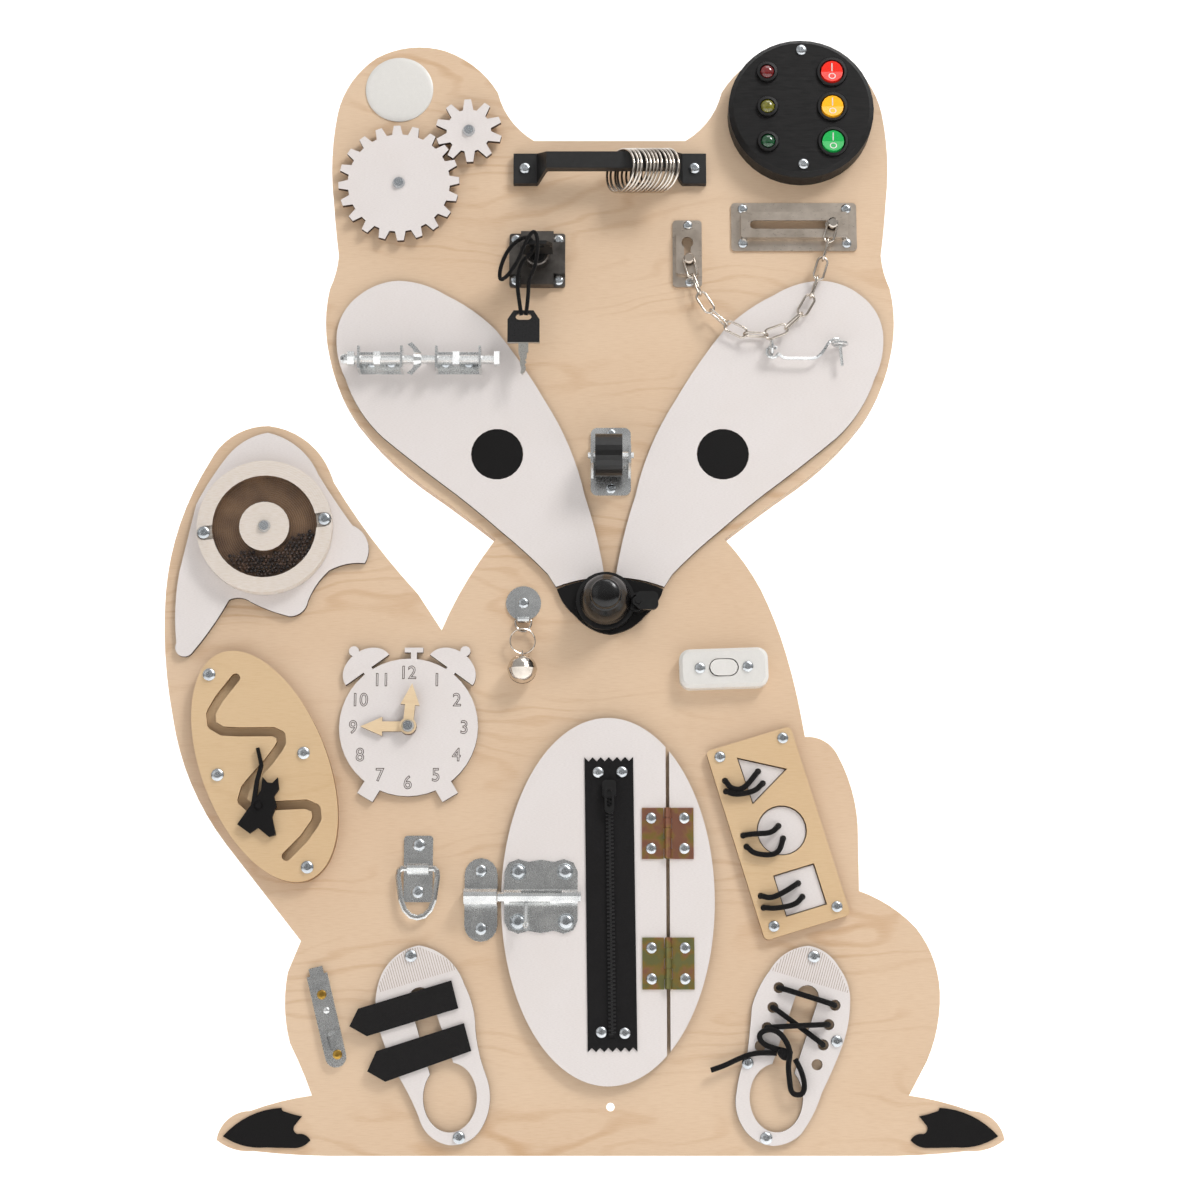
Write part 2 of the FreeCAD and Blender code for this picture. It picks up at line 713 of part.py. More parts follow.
def lamps_and_bezels():
    """A bezel and a lens for each lamp, and a bezel round each rocker."""
    face = FRONT + BOX_THICK
    bezels = []
    for y in lamp_rows():
        lamp = turned([(LAMP_BEZEL_R, 0), (LAMP_BEZEL_R, 1.4), (LAMP_LENS_R + 1, 2.6)])
        lamp = lamp.cut(cylinder(LAMP_LENS_R, 4.0))
        bezels.append(moved(lamp, BOX_AT[0] + LAMP_X, y, face))
        rocker = turned([(ROCKER_BEZEL_R, 0), (ROCKER_BEZEL_R, 1.2), (ROCKER_R + 1.2, 2.0)])
        rocker = rocker.cut(cylinder(ROCKER_R + RUN_GAP, 4.0))
        bezels.append(moved(rocker, BOX_AT[0] + ROCKER_X, y, face))
    return bezels + lamp_lenses()


def lamp_lenses():
    dome = [(LAMP_LENS_R, 0), (LAMP_LENS_R, 2.0), (LAMP_LENS_R * 0.7, 3.6), (0, 4.3)]
    return [moved(turned(dome), BOX_AT[0] + LAMP_X, y, FRONT + BOX_THICK) for y in lamp_rows()]


def rocker(y):
    """A round rocker cap with a raised ridge each side of its middle."""
    side = [(-ROCKER_R, 0), (ROCKER_R, 0), (ROCKER_R, ROCKER_THICK - 1.0), (0, ROCKER_THICK - 2.4),
            (-ROCKER_R, ROCKER_THICK)]
    corners = [V(-ROCKER_R, v, w) for v, w in side]
    cap = Part.Face(Part.makePolygon(corners + corners[:1])).extrude(V(2 * ROCKER_R, 0, 0))
    cap = cap.common(cylinder(ROCKER_R - 0.5, ROCKER_THICK))
    return [moved(cap, BOX_AT[0] + ROCKER_X, y, FRONT + BOX_THICK + ROCKER_OUT - ROCKER_THICK)]


def rocker_red():
    return rocker(lamp_rows()[0])


def rocker_yellow():
    return rocker(lamp_rows()[1])


def rocker_green():
    return rocker(lamp_rows()[2])


def lock_case():
    """A square lock body with four notched corners and its barrel."""
    x, y = LOCK_AT
    body = round_plate(LOCK_SIDE, LOCK_SIDE, LOCK_THICK, 2.0)
    reach = LOCK_SIDE / 2 - LOCK_NOTCH / 2
    for sx in (-1, 1):
        for sy in (-1, 1):
            notch = block(LOCK_NOTCH, LOCK_NOTCH, LOCK_THICK, LOCK_EAR_THICK)
            body = body.cut(moved(notch, sx * (reach + 0.2), sy * (reach + 0.2)))
    barrel = turned([(0, LOCK_THICK), (BARREL_R, LOCK_THICK), (BARREL_R, LOCK_THICK + BARREL_OUT - 1),
                     (BARREL_R - 1, LOCK_THICK + BARREL_OUT), (0, LOCK_THICK + BARREL_OUT)])
    body = body.fuse(barrel)
    top = LOCK_THICK + BARREL_OUT
    body = body.cut(cylinder(PLUG_R + FIT_GAP, BLADE_LONG, V(0, 0, top - BLADE_LONG + 6)))
    return [moved(body, x, y, FRONT)]


def key_bow(width, length, thick, hole):
    """The plastic head of a key: a flat block with cut corners and a slot for the cord."""
    half = width / 2
    corners = [(-half, 0), (half, 0), (half, length * 0.72), (half * 0.62, length),
               (-half * 0.62, length), (-half, length * 0.72)]
    bow = polygon_plate(corners, -thick / 2, thick)
    slot = slot_plate(hole[1], hole[0], thick, -thick / 2)
    return bow.cut(moved(slot, 0, length - hole[1] / 2 - 2.4, 0, 90))


def lock_key():
    """The key in the lock with the plug that turns with it; its bow stands out of the board."""
    bow = key_bow(BOW_WIDE, BOW_LONG, BOW_THICK, BOW_HOLE)
    bow.rotate(V(0, 0, 0), V(1, 0, 0), 90)
    top = LOCK_THICK + BARREL_OUT
    plug = cylinder(PLUG_R, BLADE_LONG - 7, V(0, 0, top - BLADE_LONG + 7))
    stem = block(BLADE_WIDE, BLADE_THICK, 1.5, top)
    key = plug.fuse(stem).fuse(moved(bow, z=top + 1.2)).removeSplitter()
    return [moved(key, *LOCK_AT, FRONT)]


def spare_key():
    """The second key, hanging from the cord with its blade down."""
    bow = moved(key_bow(BOW_WIDE, BOW_LONG + 2, BOW_THICK, BOW_HOLE), 0, -(BOW_LONG + 2) + 4.9)
    low = -(BOW_LONG + 2) + 4.9
    blade = [(-3.7, 0), (3.7, 0), (3.7, -7), (2.6, -8), (2.4, -12), (1.2, -13.2), (2.4, -15), (1.0, -17),
             (2.0, -19), (1.4, -22), (-0.6, -24.5), (-2.2, -23.4), (-1.4, -20), (-2.6, -16), (-2.2, -12),
             (-3.7, -8)]
    steel = moved(polygon_plate(blade, -BLADE_THICK / 2, BLADE_THICK), 0, low)
    return [moved(bow.fuse(steel).removeSplitter(), *SPARE_KEY_AT, FRONT + SPARE_KEY_OUT)]


def key_cord_route():
    """The loop of cord, from the spare key up through the bow, out to the left and back down."""
    x, y = SPARE_KEY_AT
    out = FRONT + SPARE_KEY_OUT
    eye = (LOCK_AT[0], LOCK_AT[1], FRONT + LOCK_THICK + BARREL_OUT + 1.2 + BOW_LONG - 4.9)
    return [(x - 1.6, y + 0.5, out + 3.2), (x - 3.4, y + 12, out + 5), (x - 5.0, y + 26, out + 8),
            (x - 2.0, y + 39, out + 12), (eye[0] - 2.2, eye[1] - 6, eye[2] + 0.5),
            (eye[0] - 3.0, eye[1] + 5, eye[2] - 1.0), (eye[0] - 10, eye[1] + 7.5, eye[2] - 4),
            (eye[0] - 20, eye[1] + 1.5, eye[2] - 9), (eye[0] - 27, eye[1] - 12, eye[2] - 13),
            (eye[0] - 28, eye[1] - 24, eye[2] - 14), (eye[0] - 21.5, eye[1] - 21.5, eye[2] - 10),
            (eye[0] - 13, eye[1] - 11, eye[2] - 2), (eye[0] - 7, eye[1] + 1, eye[2] + 8.5),
            (eye[0] - 1, eye[1] + 9, eye[2] + 9.5), (eye[0] + 2, eye[1] - 2, eye[2] + 8.4),
            (eye[0] - 0.5, eye[1] - 17, eye[2] - 1), (x + 3.8, y + 27, out + 8),
            (x + 3.4, y + 12, out + 5.5), (x + 1.8, y + 0.5, out + 3.4)]


def key_cord():
    return [mitred_tube(rounded_route(key_cord_route(), 2), CORD_R, 5)]


def chain_plate(size, box, thick_wall):
    """A pressed plate: a flat flange with a hollow raised box in the middle."""
    flange = round_plate(size[0], size[1], size[2], 3.0)
    raised = round_plate(box[0], box[1], box[2], 2.0)
    hollow = block(box[0] - 2 * thick_wall, box[1] - 2 * thick_wall, box[2] - thick_wall)
    return flange.fuse(raised).cut(hollow).removeSplitter()


def chain_track():
    plate = chain_plate(TRACK_PLATE, TRACK_BOX, TRACK_WALL)
    slot = slot_plate(TRACK_SLOT[1], TRACK_SLOT[0], TRACK_BOX[2])
    plate = plate.cut(moved(slot, turn=90))
    return moved(plate, *TRACK_AT, FRONT)


def chain_keeper():
    plate = chain_plate(KEEPER_PLATE, KEEPER_BOX, TRACK_WALL)
    plate = plate.cut(disc(0, KEEPER_HOLE_Y, 0, KEEPER_HOLE_R, KEEPER_BOX[2] + 1))
    plate = plate.cut(moved(slot_plate(5.0, 16.0, KEEPER_BOX[2] + 1), 0, -2.0))
    return moved(plate, *KEEPER_AT, FRONT)


def chain_plates():
    """The slotted track, the keeper and the button that holds the chain's fixed end."""
    return [chain_track(), chain_keeper(), chain_anchor()]


def chain_slider():
    """The button that runs in the track, with the foot that holds it there."""
    low = TRACK_BOX[2] - TRACK_WALL
    head = TRACK_BOX[2] + CHAIN_SPACE
    button = turned([(5.6, low - 2.4), (5.6, low - 0.4), (NECK_R, low - 0.4), (NECK_R, head),
                     (SLIDER_R, head), (SLIDER_R, head + 2.6), (SLIDER_R - 1.0, head + 3.4)])
    return [moved(button, TRACK_AT[0] + SLIDER_X, TRACK_AT[1], FRONT)]


def chain_anchor():
    """The button in the keeper's slot that the chain's other end hangs on."""
    low = KEEPER_BOX[2] - TRACK_WALL
    head = KEEPER_BOX[2] + CHAIN_SPACE
    button = turned([(5.0, low - 2.0), (5.0, low - 0.3), (NECK_R, low - 0.3), (NECK_R, head),
                     (SLIDER_R, head), (SLIDER_R, head + 2.4), (SLIDER_R - 1.0, head + 3.2)])
    return moved(button, *anchor_at(), FRONT)


def link(middle, along_deg, roll_deg, dip_deg=0.0):
    """One oval wire link: long axis along_deg in the board's plane, rolled about that axis."""
    straight = (LINK_LONG - LINK_WIDE) / 2
    radius = LINK_WIDE / 2 - LINK_WIRE_R
    route = []
    for side in (1, -1):
        for step in range(4):
            angle = -math.pi / 2 + math.pi * step / 3
            route.append(V(side * (straight + radius * math.cos(angle)), side * radius * math.sin(angle), 0))
    loop = mitred_tube(route, LINK_WIRE_R, 4, closed=True)
    loop.rotate(V(0, 0, 0), V(1, 0, 0), roll_deg)
    loop.rotate(V(0, 0, 0), V(0, 1, 0), -dip_deg)
    loop.rotate(V(0, 0, 0), V(0, 0, 1), along_deg)
    loop.translate(V(*middle))
    return loop


CHAIN_SAG = [(65.0, 610.0, 8.6), (73.5, 592.5, 9.6), (86.0, 579.2, 10.2), (101.0, 571.0, 10.4),
             (120.0, 570.4, 10.4), (136.0, 578.4, 10.4), (146.6, 590.5, 10.2), (154.6, 608.0, 9.8),
             (161.0, 628.0, 9.4)]


def anchor_at():
    return (KEEPER_AT[0] + 0.9, KEEPER_AT[1] - 6.4)


def chain_line():
    """The chain's hanging line, from the keeper's button to the slider's."""
    start = (*anchor_at(), KEEPER_BOX[2] + CHAIN_SPACE / 2)
    end = (TRACK_AT[0] + SLIDER_X, TRACK_AT[1], TRACK_BOX[2] + CHAIN_SPACE / 2)
    spline = Part.BSplineCurve()
    spline.interpolate([V(*start)] + [V(*point) for point in CHAIN_SAG] + [V(*end)])
    return spline


def door_chain():
    """Oval links along the hanging line, each second one turned on edge."""
    line = chain_line()
    spare = LINK_LONG / 2 - 2 * LINK_WIRE_R - NECK_R - 0.3
    step = (line.length() - 2 * spare) / (LINK_COUNT - 1)
    links = []
    for index in range(LINK_COUNT):
        middle = line.value(line.parameterAtDistance(spare + index * step, line.FirstParameter))
        along = V(*line.tangent(line.parameterAtDistance(spare + index * step, line.FirstParameter))[0])
        turn = math.degrees(math.atan2(along.y, along.x))
        dip = math.degrees(math.asin(along.z / along.Length))
        roll = 86 if index % 2 else 6 * (0 < index < LINK_COUNT - 1)
        links.append(link((middle.x, middle.y, FRONT + middle.z), turn, roll, dip * (0 < index < LINK_COUNT - 1)))
    return links


def screw_eye(x, y, level, ring_turn):
    """A wire eye on a shank that is screwed into the board."""
    ring = mitred_tube(ring_route(EYE_RING_R, 10), EYE_WIRE_R, 6, closed=True)
    ring.rotate(V(0, 0, 0), V(1, 0, 0), 90)
    ring.rotate(V(0, 0, 0), V(0, 0, 1), ring_turn)
    shank = cylinder(EYE_WIRE_R, FRONT + EYE_OUT - EYE_RING_R + 0.4 - level, V(0, 0, level))
    eye = shank.fuse(moved(ring, z=FRONT + EYE_OUT))
    return moved(eye, x, y)


def ring_mounts():
    """The small fixed fittings: two screw eyes, two U brackets, the bell's hanger and a ring plate."""
    eyes = [screw_eye(*HOOK_EYE_AT, PLATE_FRONT, 90), screw_eye(*CATCH_EYE_AT, PLATE_FRONT, 0)]
    return eyes + [u_bracket(*bracket) for bracket in BRACKETS] + [hanger(), lashing_plate()]


def gate_hook():
    """A bent wire hook: a loop through the first eye, a dip, and a tip down through the second."""
    x, y = HOOK_EYE_AT
    out = FRONT + EYE_OUT
    end_x, end_y = CATCH_EYE_AT
    loop = []
    radius = 4.4
    for step in range(9):
        angle = math.radians(-20 - 300 * step / 8)
        loop.append((x + 0.5 + radius * math.cos(angle), y - 3.4 + radius * math.sin(angle), out))
    loop.reverse()
    arm = [(x + 9, y - 8.2, out), (x + 34, y - 8.4, out), (x + 39.5, y - 1.5, out), (x + 43, y + 5.2, out),
           (end_x, end_y + 5.4, out), (end_x + 0.4, end_y - 4, out), (end_x + 1.5, end_y - 17, out)]
    route = [V(*p) for p in loop] + rounded_route([loop[-1]] + arm, 2)[1:]
    return [mitred_tube(route, HOOK_WIRE_R, 6)]


def u_bracket(x, length):
    """A U bracket of bent strip, its two ears bored for the rod."""
    y, out = ROD_AXIS
    base = Part.makeBox(length, BRACKET_WIDE, BRACKET_THICK, V(x, -BRACKET_WIDE / 2, 0))
    for at in (x, x + length - BRACKET_THICK):
        base = base.fuse(Part.makeBox(BRACKET_THICK, BRACKET_WIDE, BRACKET_HIGH, V(at, -BRACKET_WIDE / 2, 0)))
    bore = cylinder(ROD_R + 0.3, length + 2, V(x - 1, 0, out), V(1, 0, 0))
    return moved(base.cut(bore).removeSplitter(), 0, y, PLATE_FRONT)


def along_x(shape, x):
    """Lays a piece made along z down along the rod."""
    copy = shape.copy()
    copy.rotate(V(0, 0, 0), V(0, 1, 0), 90)
    copy.translate(V(x, ROD_AXIS[0], PLATE_FRONT + ROD_AXIS[1]))
    return copy


def threaded_bolt():
    """The rod with its hexagon head, two locked nuts and the domed nut on its end."""
    rod = cylinder(ROD_R, ROD_RIGHT - ROD_LEFT)
    pieces = rod.fuse(moved(hexagon(NUT_ACROSS, ROD_HEAD_LONG), z=ROD_RIGHT - ROD_LEFT))
    for x in (-176.5, -117.4):
        pieces = pieces.fuse(moved(hexagon(NUT_ACROSS, NUT_LONG), z=x - ROD_LEFT))
    dome = turned([(0, -6.0), (2.6, -5.2), (4.4, -2.6), (4.8, 0), (0, 0)])
    pieces = pieces.fuse(dome).fuse(hexagon(NUT_ACROSS, NUT_LONG)).removeSplitter()
    return [along_x(pieces, ROD_LEFT)]


WING_NUT_X = -146.5


def wing_nut():
    hub = turned([(5.4, 0), (4.4, 5.5)]).cut(cylinder(ROD_R + THREAD_GAP, 5.5))
    wing = [(0, 4.2), (5.5, 4.6), (-1.5, 12.6), (-5.0, 11.2), (-0.8, 7.4)]
    for side in (1, -1):
        corners = [V(-1.1, side * v, u) for u, v in wing]
        fin = Part.Face(Part.makePolygon(corners + corners[:1])).extrude(V(2.2, 0, 0))
        hub = hub.fuse(fin)
    return [along_x(hub, WING_NUT_X)]


def castor_fork():
    width, length, thick = CASTOR_PLATE
    plate = round_plate(width, length, thick, 5.0)
    walls = []
    for x in (-width / 2, width / 2 - CASTOR_WALL):
        side = [(-13, thick), (13, thick), (7, CASTOR_AXLE_OUT + 5), (-7, CASTOR_AXLE_OUT + 5)]
        corners = [V(x, v, w) for v, w in side]
        walls.append(Part.Face(Part.makePolygon(corners + corners[:1])).extrude(V(CASTOR_WALL, 0, 0)))
    fork = plate.fuse(walls[0]).fuse(walls[1]).removeSplitter()
    axle = cylinder(CASTOR_AXLE_R, width + 4, V(-width / 2 - 2, 0, CASTOR_AXLE_OUT), V(1, 0, 0))
    fork = fork.fuse(axle).removeSplitter()
    return [moved(fork, *CASTOR_AT, FRONT)]


def castor_wheel():
    wheel = cylinder(CASTOR_WHEEL_R, CASTOR_WHEEL_WIDE)
    wheel = wheel.cut(cylinder(CASTOR_AXLE_R + FIT_GAP, CASTOR_WHEEL_WIDE))
    wheel.rotate(V(0, 0, 0), V(0, 1, 0), 90)
    return [moved(wheel, CASTOR_AT[0] - CASTOR_WHEEL_WIDE / 2 - 1.6, CASTOR_AT[1], FRONT + CASTOR_AXLE_OUT)]


def bell_base():
    """The black base with its lever housing and the post that carries the gong."""
    base = cylinder(BELL_BASE_R, BELL_BASE_THICK)
    base = base.fuse(disc(*LEVER_PIVOT, 0, 7.5, BELL_BASE_THICK + 2))
    base = base.cut(disc(*LEVER_PIVOT, BELL_BASE_THICK - 1, 6.0, 4))
    base = base.fuse(cylinder(BELL_POST_R, bell_post_top()))
    base = base.fuse(true_disc(*LEVER_PIVOT, 0, 2.0, BELL_BASE_THICK + 8)).removeSplitter()
    return [moved(base, *BELL_AT, PLATE_FRONT)]


def bell_post_top():
    return BELL_BASE_THICK + 2.5 + BELL_GONG_HIGH - 0.2


def bell_gong():
    """The turned gong, open below, and the round cap that screws it to its post."""
    low = BELL_BASE_THICK + 2.5
    high = low + BELL_GONG_HIGH
    wall = BELL_WALL
    outer = [(BELL_GONG_R + 0.8, low), (BELL_GONG_R, low + 3), (BELL_GONG_R - 1.2, low + 11),
             (BELL_GONG_R - 4.5, low + 17), (BELL_CAP_R, high), (BELL_CAP_R, BELL_TOP - 3),
             (BELL_CAP_R - 3.5, BELL_TOP), (0, BELL_TOP + 0.8)]
    inner = [(BELL_CAP_R - wall, high - wall), (BELL_GONG_R - 4.5 - wall, low + 16),
             (BELL_GONG_R - 1.2 - wall, low + 10.5), (BELL_GONG_R - wall, low)]
    gong = turned(outer).cut(turned(inner)).cut(cylinder(BELL_POST_R + FIT_GAP, bell_post_top() + FIT_GAP))
    return [moved(gong, *BELL_AT, PLATE_FRONT)]


def bell_lever():
    """The thumb lever, bored for its pivot post."""
    low = BELL_BASE_THICK + 2.6
    eye = cylinder(4.2, 4.0, V(0, 0, low))
    paddle = round_plate(16.5, 13.5, 4.0, 4.0, low)
    arm = Part.makeBox(10, 6, 4, V(0, -3, low))
    lever = eye.fuse(arm).fuse(moved(paddle, 6.5, 0.6)).removeSplitter()
    lever = lever.cut(true_disc(0, 0, 0, 2.0 + FIT_GAP, 20))
    lever = lever.cut(moved(cylinder(BELL_GONG_R + 1.6, 20), -LEVER_PIVOT[0], -LEVER_PIVOT[1]))
    return [moved(lever, BELL_AT[0] + LEVER_PIVOT[0], BELL_AT[1] + LEVER_PIVOT[1], PLATE_FRONT)]


def hanger():
    """The washer and the folded tab that the bell's D ring hangs from."""
    width, length, thick = HANGER_TAB
    washer = cylinder(HANGER_DISC_R, HANGER_DISC_THICK)
    tab = slot_plate(width, length, thick, HANGER_DISC_THICK)
    tab = moved(tab, 0, -length / 2 + width / 2)
    roll = cylinder(2.2, width - 2, V(-width / 2 + 1, hanger_roll_y(), HANGER_DISC_THICK + 2.2), V(1, 0, 0))
    body = washer.fuse(tab).fuse(roll)
    bore = cylinder(HANGER_WIRE_R + 0.3, width, V(-width / 2, hanger_roll_y(), HANGER_DISC_THICK + 2.2),
                             V(1, 0, 0))
    return moved(body.cut(bore).removeSplitter(), *HANGER_AT, FRONT)


def hanger_roll_y():
    return HANGER_TAB[0] / 2 - HANGER_TAB[1] + 2.0


def jingle_bell():
    """The D ring, the split ring and the round bell with its slot, which swing as one."""
    level = FRONT + HANGER_DISC_THICK + 2.2
    top = HANGER_AT[1] + hanger_roll_y()
    half = HANGER_TAB[0] / 2 + 0.4
    d_route = [V(-half, 0, 0), V(half, 0, 0), V(half - 0.4, -3.5, 0), V(half - 3, -7, 0), V(0, -8.4, 0),
               V(3 - half, -7, 0), V(0.4 - half, -3.5, 0)]
    d_ring = moved(mitred_tube(d_route, HANGER_WIRE_R, 4, closed=True), HANGER_AT[0], top, level)
    split = mitred_tube(ring_route(SPLIT_RING_R, 14), HANGER_WIRE_R + 0.1, 4, closed=True)
    split.rotate(V(0, 0, 0), V(0, 1, 0), 10)
    split_y = top - 7.4 - SPLIT_RING_R
    split = moved(split, HANGER_AT[0] - 0.4, split_y, level + 1.9)
    bell_y = split_y - SPLIT_RING_R - JINGLE_R - 1.6
    shell = turned([(3.0, 9.2), (8.0, 6.6), (10.7, 1.2), (10.7, -1.2), (8.0, -6.6), (3.0, -9.2)])
    room = turned([(6.8, 6.0), (9.6, 0), (6.8, -6.0)])
    shell = shell.cut(room).cut(Part.makeBox(24, 2.0, 7, V(-12, -1, -12)))
    shell = shell.fuse(cylinder(1.2, 3.6, V(0, 0, 9.0)))
    shell.rotate(V(0, 0, 0), V(1, 0, 0), -90)
    shell = moved(shell, HANGER_AT[0] - 0.4, bell_y, level + 8.2, 0)
    return [d_ring, split, shell]


def switch_body():
    width, length, thick = SWITCH_SIZE
    body = round_plate(width, length, thick, SWITCH_CORNER)
    rim = [e for e in body.Edges if min(v.Z for v in e.Vertexes) > thick - 0.01]
    body = body.makeChamfer(2.4, rim)
    well = slot_plate(SWITCH_ROCKER[1] + 0.8, SWITCH_ROCKER[0] + 0.8, 9.0, thick - 7.0)
    body = body.cut(moved(well, turn=90))
    return [moved(body, *SWITCH_AT, FRONT, SWITCH_TILT)]


def switch_rocker():
    """The oval rocker, one end high and the other low."""
    long, wide = SWITCH_ROCKER
    half = long / 2
    side = [(-half, 0), (half, 0), (half, 4.0), (2, 4.6), (-half, 6.6)]
    corners = [V(u, -wide / 2, w) for u, w in side]
    cap = Part.Face(Part.makePolygon(corners + corners[:1])).extrude(V(0, wide, 0))
    cap = cap.common(moved(slot_plate(wide - 0.6, long - 0.6, 8.0), turn=90))
    return [moved(cap, *SWITCH_AT, FRONT + SWITCH_SIZE[2] - 4.6, SWITCH_TILT)]


def drum_back():
    return PLATE_FRONT + DRUM_STANDOFF


def window_blank(radius, ear, thick, z):
    """The window's disc with its two ears."""
    plate = cylinder(radius, thick, V(0, 0, z))
    lug = slot_plate(2 * ear, 2 * (EAR_REACH + ear), thick, z)
    return moved(plate.fuse(moved(lug, turn=90)).removeSplitter(), turn=EAR_TILT)


def drum_body():
    """The wooden drum: base, rim and hub in one, with a seat for the window."""
    drum = cylinder(DRUM_R, DRUM_THICK)
    trough = cylinder(WINDOW_R, DRUM_THICK, V(0, 0, DRUM_BASE))
    drum = drum.cut(trough.cut(cylinder(HUB_R, DRUM_THICK, V(0, 0, DRUM_BASE))))
    seat = window_blank(WINDOW_R + FIT_GAP, EAR_R + FIT_GAP, WINDOW_THICK, DRUM_THICK - WINDOW_THICK)
    seat = seat.cut(cylinder(HUB_R, DRUM_THICK, V(0, 0, 0)))
    drum = drum.cut(seat).cut(true_disc(0, 0, 0, PIVOT_R + FIT_GAP, DRUM_THICK))
    return [moved(drum.removeSplitter(), *DRUM_AT, drum_back())]


def drum_window():
    level = DRUM_THICK - WINDOW_THICK
    pane = window_blank(WINDOW_R, EAR_R, WINDOW_THICK, level)
    pane = pane.cut(cylinder(HUB_R + FIT_GAP, DRUM_THICK))
    return [moved(pane, *DRUM_AT, drum_back())]


def drum_beads():
    """The heap of beads that lies in the lower part of the trough."""
    gap = RUN_GAP
    heap = cylinder(WINDOW_R - gap, DRUM_THICK - WINDOW_THICK - DRUM_BASE - 2 * gap,
                             V(0, 0, DRUM_BASE + gap))
    heap = heap.cut(cylinder(HUB_R + gap, DRUM_THICK))
    above = Part.makeBox(120, 60, 20, V(-60, -BEAD_LINE_DROP, -2))
    heap = heap.cut(moved(above, turn=BEAD_LINE_TILT))
    return [moved(heap, *DRUM_AT, drum_back())]


def maze_groove(width, z, thick):
    """The winding slot's core: its middle line grown to the slot's width, with round ends."""
    line = Part.makePolygon(rounded_route([(x, y, 0) for x, y in MAZE_PATH], 1))
    return moved(line.makeOffset2D(width / 2, fill=True).extrude(V(0, 0, thick)), z=z)


def maze_plate():
    """An oval plate with a winding slot; a wider tunnel under it keeps the slider captive."""
    plate = ellipse_plate(MAZE_AT, MAZE_HALF, FRONT, MAZE_THICK, MAZE_TILT)
    plate = plate.cut(maze_groove(MAZE_SLOT_WIDE, FRONT + 1, MAZE_THICK))
    plate = plate.cut(maze_groove(MAZE_TUNNEL_WIDE, FRONT + 1, MAZE_THICK - MAZE_FACE - 1))
    return [plate]


def cat_slider():
    """The little cat on the pin that runs in the slot."""
    figure = [(-15, -13.5), (-6, -20), (0, -16), (8, -22.5), (13, -21), (10, -8), (13, 0), (11, 7),
              (14.5, 12), (13.5, 20.5), (9.5, 16.5), (6, 17), (2.4, 21), (1.5, 11), (-3, 4), (-8, -3)]
    level = MAZE_THICK + RUN_GAP
    body = polygon_plate(figure, level, CAT_THICK)
    tail = polygon_plate([(-5.5, 0), (-2.0, 3), (-0.2, 18), (2.6, 30), (-0.6, 42.5), (-3.0, 42.0), (-0.2, 30),
                          (-3.2, 18)], level, CAT_THICK)
    pin = cylinder(MAZE_SLOT_WIDE / 2 - 0.4, MAZE_THICK - 1.2, V(0, 0, 1.6))
    foot = cylinder(MAZE_TUNNEL_WIDE / 2 - 0.5, 3.0, V(0, 0, 1.4))
    head = turned([(0, level + CAT_THICK), (3.3, level + CAT_THICK), (2.4, level + CAT_THICK + 1.8),
                   (0, level + CAT_THICK + 1.8)])
    cat = body.fuse(tail).fuse(pin).fuse(foot).fuse(head).removeSplitter()
    return [moved(cat, *CAT_AT, FRONT)]


def clock_face():
    """An alarm clock's outline: the round face, two bells, a button and two feet."""
    face = cylinder(CLOCK_R, PLATE_THICK)
    for side in (-1, 1):
        bell = ellipse_plate((0, 0), (CLOCK_BELL_HIGH, CLOCK_BELL_HALF), 0, PLATE_THICK)
        bell = moved(bell, turn=90).cut(Part.makeBox(60, 30, 9, V(-30, -30, -1)))
        neck = block(7, 8, PLATE_THICK)
        ball = disc(0, CLOCK_BELL_HIGH + CLOCK_BALL_R * 0.6, 0, CLOCK_BALL_R, PLATE_THICK)
        bell = moved(bell.fuse(ball).fuse(neck), 0, CLOCK_R + 1.6)
        face = face.fuse(moved(bell, turn=-side * CLOCK_BELL_DEG))
        foot = block(13, 14, PLATE_THICK)
        face = face.fuse(moved(moved(foot, 0, -CLOCK_R - 2.5), turn=side * 31))
    face = face.fuse(moved(block(4.4, 8, PLATE_THICK), 3.2, CLOCK_R + 1.5))
    face = face.fuse(moved(block(13.6, 3.6, PLATE_THICK), 3.2, CLOCK_R + 6.4)).removeSplitter()
    face = face.cut(true_disc(0, 0, 0, PIVOT_R, PLATE_THICK))
    return [moved(face, *CLOCK_AT, FRONT)]


def hand_level(order):
    return PLATE_FRONT + RUN_GAP + order * (HAND_THICK + RUN_GAP)


def clock_hand(length, order, turn):
    """An arrow-shaped hand that points up at turn 0."""
    half = HAND_WIDE / 2
    neck = length - HAND_ARROW_LONG
    arrow = [(-half, 0), (half, 0), (half, neck), (HAND_ARROW_WIDE / 2, neck), (0, length),
             (-HAND_ARROW_WIDE / 2, neck), (-half, neck)]
    hand = polygon_plate(arrow, 0, HAND_THICK).fuse(cylinder(HAND_HUB_R, HAND_THICK)).removeSplitter()
    hand = hand.cut(true_disc(0, 0, 0, PIVOT_R + FIT_GAP, HAND_THICK))
    return [moved(hand, *CLOCK_AT, hand_level(order), turn)]


def clock_hour():
    return clock_hand(HOUR_LONG, 0, 90)


def clock_minute():
    return clock_hand(MINUTE_LONG, 1, -5)


def belly_part(side):
    """The oval cut along the slit: side -1 is the door, side 1 the fixed leaf."""
    oval = ellipse_plate(BELLY_AT, BELLY_HALF, FRONT, BELLY_THICK)
    start = HINGE_X + side * SLIT_WIDE / 2
    keep = Part.makeBox(200, 400, 40, V(start if side > 0 else start - 200, -50, 0))
    return oval.common(keep)


def belly_fixed():
    return [belly_part(1)]


def door_leaf():
    """The door; its back is shaved so that it swings clear of the board."""
    door = belly_part(-1)
    return [door.cut(Part.makeBox(400, 400, RUN_GAP, V(-200, -50, FRONT)))]


def hinge_axis_z():
    return BELLY_FRONT + KNUCKLE_R + 0.1


